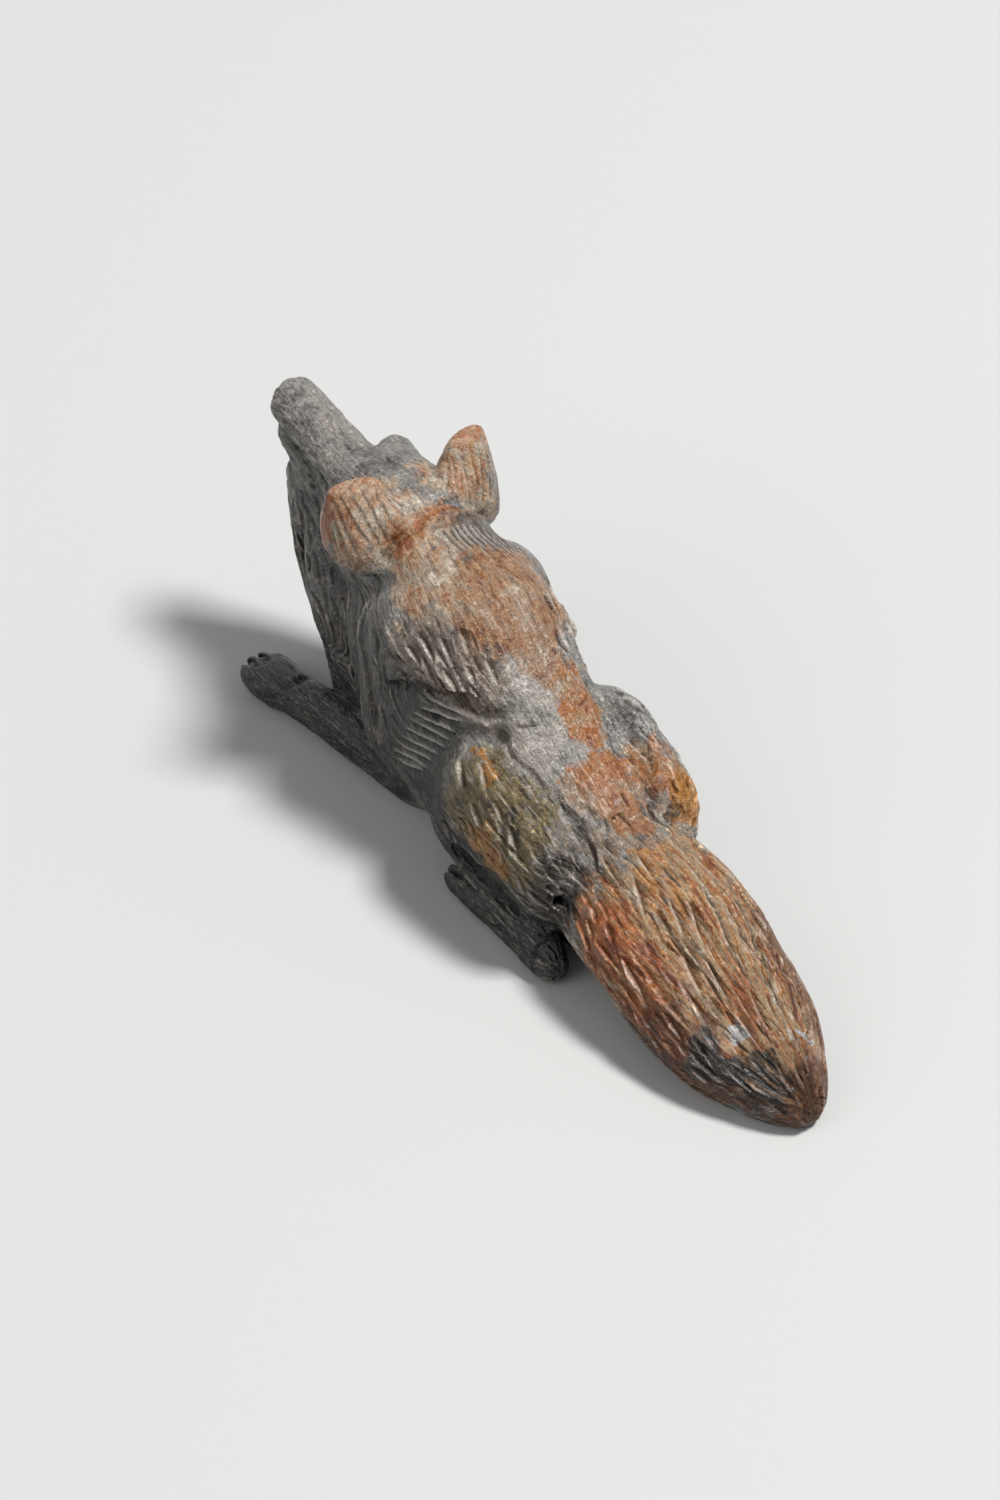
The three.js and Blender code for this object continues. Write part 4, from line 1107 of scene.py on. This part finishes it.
# %% Add the coloured patches
PATCHES = [
    ("crown", "grey", (94, 0, 40), (20, 9, 8), 1.0),
    ("snout", "pale", (104, 0, 39), (13, 6, 5), 0.45),
    ("waist", "pale", (53, 0.8, 27), (11, 8.6, 9), 0.9),
    ("mane left", "mane", (65, 9, 32), (9, 7, 7), 0.9),
    ("mane right", "mane", (65, -11, 30), (9, 5, 7), 0.9),
    ("hump", "hump", (68, -1.5, 38), (12.5, 9, 8), 1.0),
    ("hump side", "ear", (74.5, 6, 36.5), (5.5, 5, 5), 0.85),
    ("hump foot", "hump", (59, -1, 33), (5, 4, 4), 0.8),
    ("nape band", "throat", (75.6, -5.4, 39), (3.4, 7, 5), 0.8),
    ("spine", "spine", (54, -3.4, 27), (4.6, 4, 6), 1.0),
    ("rump", "spine", (46, -2.4, 22), (5, 6, 4), 1.0),
    ("right haunch", "spine", (44, -9.5, 19), (6, 3.5, 5), 0.9),
    ("amber knob", "amber", (41, -11, 18), (3.6, 3.6, 4), 1.0),
    ("olive haunch", "haunch", (50, 12, 18), (11, 7, 9), 1.0),
    ("haunch rim", "amber", (49, 14, 15.5), (5.5, 2, 2.4), 0.8),
    ("haunch line", "amber", (54, 10.6, 23.6), (5, 1.2, 1.6), 0.7),
    ("left ear", "ear", (84.5, 7.5, 42), (6.4, 7, 7), 1.0),
    ("right ear", "ear", (84.5, -8, 43), (6.4, 6.4, 7), 1.0),
    ("ear roots", "ear", (79.6, 4, 40.4), (3, 5.6, 3.6), 1.0),
    ("left ear edge", "rust", (87, 12.6, 42), (2.4, 2, 6), 0.9),
    ("left ear top", "rust", (88, 9, 46.4), (2.4, 4, 1.2), 0.7),
    ("right ear tip", "rust", (87, -9, 46.8), (2.4, 3, 2.4), 0.8),
    ("right ear ridge", "amber", (84, -8.6, 43), (2, 1, 4), 0.5),
    ("right ear side", "grey", (82, -11.4, 40), (4, 2.4, 5), 0.8),
    ("nape crease", "rust", (79.6, 3, 40), (1.3, 5.4, 2.4), 0.8),
    ("tail", "tail", (20, 0, 12), (25, 14, 11), 1.0),
    ("tail root", "mane", (41, 0, 20), (5, 8, 4), 0.6),
    ("tail root orange", "spine", (42, -2, 20), (5, 3, 3), 0.7),
    ("tail rust left", "rust", (28, 8.5, 12.5), (12, 3.2, 5), 0.9),
    ("tail rust low", "rust", (19, 9.5, 7), (9, 3.4, 4), 0.85),
    ("tail rust middle", "rust", (13, 1, 11), (5, 2.4, 2.4), 0.6),
    ("tail amber", "amber", (34, 1.6, 18), (3.4, 1.4, 1.6), 0.8),
    ("tail amber middle", "amber", (26, 0.4, 17), (3.4, 1.2, 1.6), 0.7),
    ("tail right", "bark", (15, -10, 8), (15, 5, 7), 0.75),
    ("tail low", "bark", (12, 8.6, 5.4), (14, 5, 6), 0.9),
    ("tail tip", "bark", (2.4, 0, 4), (5, 6, 5), 1.0),
    ("tail dark vein", "vein", (10, 7.4, 6.8), (6.4, 2.6, 2.8), 1.0),
    ("tail dark vein end", "vein", (5.2, 4, 6), (2.8, 3.6, 2.8), 1.0),
    ("tail dark edge", "vein", (17, 12, 3.4), (15, 2.6, 3.4), 0.9),
    ("chip left", "chip", (10.8, 3, 10.4), (1.2, 1.4, 1.6), 0.8),
    ("chip right", "chip", (6.5, -3, 7.8), (1, 0.8, 1.4), 0.9),
    # Dark patches: partly the stone's own black, partly painted shade on the legs and in the recess at the
    # tail root.
    ("root recess", "dark", (40, 10, 12), (4, 4, 8), 0.85),
    ("lower thigh", "dark", (54, 14, 6), (16, 5, 8), 1.0),
    ("upper arm", "dark", (68, 12.8, 17), (10, 4.6, 12), 0.9),
    ("forearm", "dark", (92, 12, 3), (24, 7, 8), 1.0),
    ("hind foot", "dark", (48, 12, 2), (24, 7, 6), 1.0),
    ("breast", "throat", (94, 2, 18), (17, 11, 19), 1.0),
    ("ruff", "throat", (77, 12, 20), (4, 4, 16), 1.0),
    # Dark patches again: partly the stone's black, partly painted shade under the breast, on the right
    # flank and the right forearm.
    ("breast foot", "dark", (90, 4, 6), (16, 10, 8), 0.7),
    ("right flank", "dark", (60, -15, 10), (26, 4.4, 10), 0.7),
    ("right forearm", "dark", (92, -12, 3), (18, 5, 6), 0.8),
]


def patch(centre, radii):
    """Mask a cloud of stone with a ragged rim: 1 in its middle and 0 outside."""
    away = marble.vector("SUBTRACT", bent, list(centre))
    away = marble.vector("DIVIDE", away, list(radii))
    return (1 - marble.vector("LENGTH", away, output=1) + ragged).step(-0.16, 0.24)


colour = palettes["grey"]
for label, name, centre, radii, strength in PATCHES:
    colour = marble.mix(patch(centre, radii) * strength, colour, palettes[name])
    colour.socket.node.label = label
print("patches:", len(PATCHES))

# %% [markdown]
# ## Crystals, veins, cuts and edges
# Close up, the stone is a heap of small crystals, each a little lighter or darker than the next, and
# sugary on the waist. Fine scratches and dark mineral veins cross it. Over all of that the values
# from the mesh speak: cuts and creases get dark dust and painted shade, and edges and fresh lips get
# pale wear and a painted highlight. Wear could be painted on too, but read from the shape it always
# sits where the real polish would.

# %% Add crystals
SUGAR = paint("E6E2DA")
coarse_crystals = marble.node("ShaderNodeTexVoronoi", {}, {"Vector": place, "Scale": 2.6}, output=1)
fine_crystals = marble.node("ShaderNodeTexVoronoi", {}, {"Vector": place, "Scale": 5.2}, output=1)
crystal_faces = marble.node("ShaderNodeTexVoronoi", {}, {"Vector": place, "Scale": 3.4})
glitter = coarse_crystals * 0.5 + fine_crystals * 0.5
colour = marble.scaled(colour, 0.6 + 0.8 * glitter)
sugary = patch((53, -2, 27), (12, 13, 9)) * 0.8 + 0.2
colour = marble.mix(glitter.step(0.6, 0.8) * sugary * 0.35, colour, SUGAR)
print("nodes with the crystals:", len(marble.tree.nodes))

# %% Add scratches and veins
SCRATCH_SHADE, SCRATCH_GLEAM, MINERAL = paint("4A3E34"), paint("D8CCBC"), paint("3C2E22")
colour = marble.mix((1 - scratches.step(0.36, 0.46)) * 0.4, colour, SCRATCH_SHADE, "MULTIPLY")
colour = marble.mix(scratches.step(0.56, 0.66) * 0.25, colour, SCRATCH_GLEAM)
vein_cloud = marble.noise(bent, 0.3, 4, 0.6) - 0.5
vein = 1 - vein_cloud.maths("ABSOLUTE", vein_cloud).step(0, 0.012)
colour = marble.mix(vein * clouds.step(0.45, 0.55) * 0.5, colour, MINERAL)
print("nodes with the veins:", len(marble.tree.nodes))

# %% Add dust, wear and painted light
CUT_DUST_AND_SHADE, WORN_STONE_AND_HIGHLIGHT, LIP_DUST_AND_HIGHLIGHT = paint("6A5E54"), paint("DDD6CC"), paint("D6D1C8")
in_cut = marble.attribute("hollow")
on_edge = marble.attribute("crest").step(0.3, 0.95)
# Dust and painted shade: the cuts and creases are darkened.
colour = marble.mix(in_cut * 0.85, colour, CUT_DUST_AND_SHADE, "MULTIPLY")
# Pale wear and a painted highlight: the edges are lightened.
worn_and_highlight = marble.mix(0.45, marble.scaled(colour, 2.2), WORN_STONE_AND_HIGHLIGHT)
colour = marble.mix(on_edge * (0.15 + 0.9 * fine), colour, worn_and_highlight)
# Stone dust and a painted highlight: the scored lips are lightened.
colour = marble.mix(marble.attribute("scored") * 0.7, colour, LIP_DUST_AND_HIGHLIGHT)
print("nodes with the wear:", len(marble.tree.nodes))

# %% [markdown]
# ## The graver's finest marks
# Between the big cuts the whole skin is nicked by the tool. These nicks are too small for geometry,
# so they are bump: long cells along the grain, each tilted its own way like a cut facet. Where two
# of them meet, a pale line is painted into the colour: partly stone dust, partly a painted highlight.
# Grain along the body passes into grain down the breast.

# %% Add the graver's finest marks
def marks(name):
    """Split the skin into slim cuts along a grain: how each one tilts, and the lines between them."""
    spot = marble.vector("ADD", marble.attribute(name, 1), centred_noise(0.35, 2, 1.6))
    cells = {"Vector": spot, "Scale": 0.85}
    cell = marble.node("ShaderNodeTexVoronoi", {}, cells, output=1)
    middle = Value(marble, cell.socket.node.outputs["Position"])
    lean = marble.vector("SUBTRACT", cell, [0.5] * 3)
    tilt = marble.vector("DOT_PRODUCT", marble.vector("SUBTRACT", spot, middle), lean, output=1)
    rim = marble.node("ShaderNodeTexVoronoi", {"feature": "DISTANCE_TO_EDGE"}, cells)
    return tilt, 1 - rim.step(0.01, 0.07)


share = marble.attribute("upright")
carved = marble.attribute("carved")
(long_tilt, long_rim), (down_tilt, down_rim) = marks("along_body"), marks("down_breast")
tilt = (long_tilt + (down_tilt - long_tilt) * share) * carved
rim = (long_rim + (down_rim - long_rim) * share) * carved
# A painted highlight, with some pale dust: the lines between the cells are lightened.
colour = marble.mix(rim * fine.step(0.45, 0.6) * 0.7, colour, marble.scaled(colour, 2.2))

height = tilt * 1.3 + fine * 0.1 + scratches * 0.2 + crystal_faces * 0.07
relief = marble.node("ShaderNodeBump", {}, {"Strength": 1.0, "Distance": 0.001, "Height": height})
marble.surface(
    Base_Color=colour,
    Roughness=0.2 + 0.4 * in_cut + 0.2 * fine,
    Normal=relief,
    Specular_IOR_Level=0.3,
    Coat_Weight=0.08,
    Coat_Roughness=0.15,
)
carving.materials.append(marble.material)
print("nodes in the stone's finish:", len(marble.tree.nodes))

# %% [markdown]
# ## The eyes
# Carvers of such animals often set small turquoise beads into drilled holes as eyes, with brown
# lines of the mother rock running through the blue. A squashed sphere would be quick, but its rim
# would stand off the face. So each eye is a low dome, built ring by ring from a curve that falls
# ever faster outwards and ends in a skirt inside the hole.

# %% Polish the turquoise
turquoise = Finish("turquoise")
spot = turquoise.scaled(turquoise.node("ShaderNodeTexCoord", {}, {}, output=3), 1000.0)
sky = turquoise.noise(spot, 0.9, 4, 0.6)
blue = turquoise.ramp(sky, [(0.35, paint("2F7F86")), (0.5, paint("46A0A2")), (0.65, paint("6FBDB6"))])
cells = {"Vector": spot, "Scale": 0.9}
lines = turquoise.node("ShaderNodeTexVoronoi", {"feature": "DISTANCE_TO_EDGE"}, cells)
web = (1 - lines.step(0.01, 0.09)) * sky.step(0.4, 0.55)
turquoise.surface(
    Base_Color=turquoise.mix(web, blue, paint("3A2A1E")),
    Roughness=0.16 + 0.3 * web,
    Coat_Weight=0.6,
    Coat_Roughness=0.06,
)
print("nodes in the turquoise:", len(turquoise.tree.nodes))

# %% Set in the eyes
EYE_RADIUS = 1.3
EYE_RISE = 0.5
EYE_SKIRT = 0.7
EYE_RINGS = 12
EYE_SIDES = 32

for side, name in zip(SIDES, ("left_eye", "right_eye")):
    middle, forwards, outwards, upwards = eye_frame(side)
    rings = []
    for ring in range(EYE_RINGS + 1):
        share = ring / EYE_RINGS
        lift = EYE_RISE * (1 - share ** 2.4) - EYE_SKIRT * share ** 8
        for step in range(EYE_SIDES):
            turn = 2 * math.pi * step / EYE_SIDES
            flat = EYE_RADIUS * share * (math.cos(turn) * forwards + math.sin(turn) * upwards)
            rings.append((middle + TAIL_TIP + flat + lift * outwards) / 1000)
    points = [rings[0]] + rings[EYE_SIDES:]
    faces = [(0, 1 + i, 1 + (i + 1) % EYE_SIDES) for i in range(EYE_SIDES)]
    for ring in range(EYE_RINGS - 1):
        first = 1 + ring * EYE_SIDES
        for i in range(EYE_SIDES):
            near_end, far_end = first + i, first + (i + 1) % EYE_SIDES
            faces.append((near_end, near_end + EYE_SIDES, far_end + EYE_SIDES, far_end))
    eye_mesh = bpy.data.meshes.new(name)
    eye_mesh.from_pydata(points, [], faces if side > 0 else [face[::-1] for face in faces])
    eye_mesh.polygons.foreach_set("use_smooth", [True] * len(faces))
    eye_mesh.materials.append(turquoise.material)
    eye = bpy.data.objects.new(name, eye_mesh)
    scene.collection.objects.link(eye)
    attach(eye, "root")
    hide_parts(name + "_inlay")
    print(name, "at", [round(float(value), 1) for value in middle])
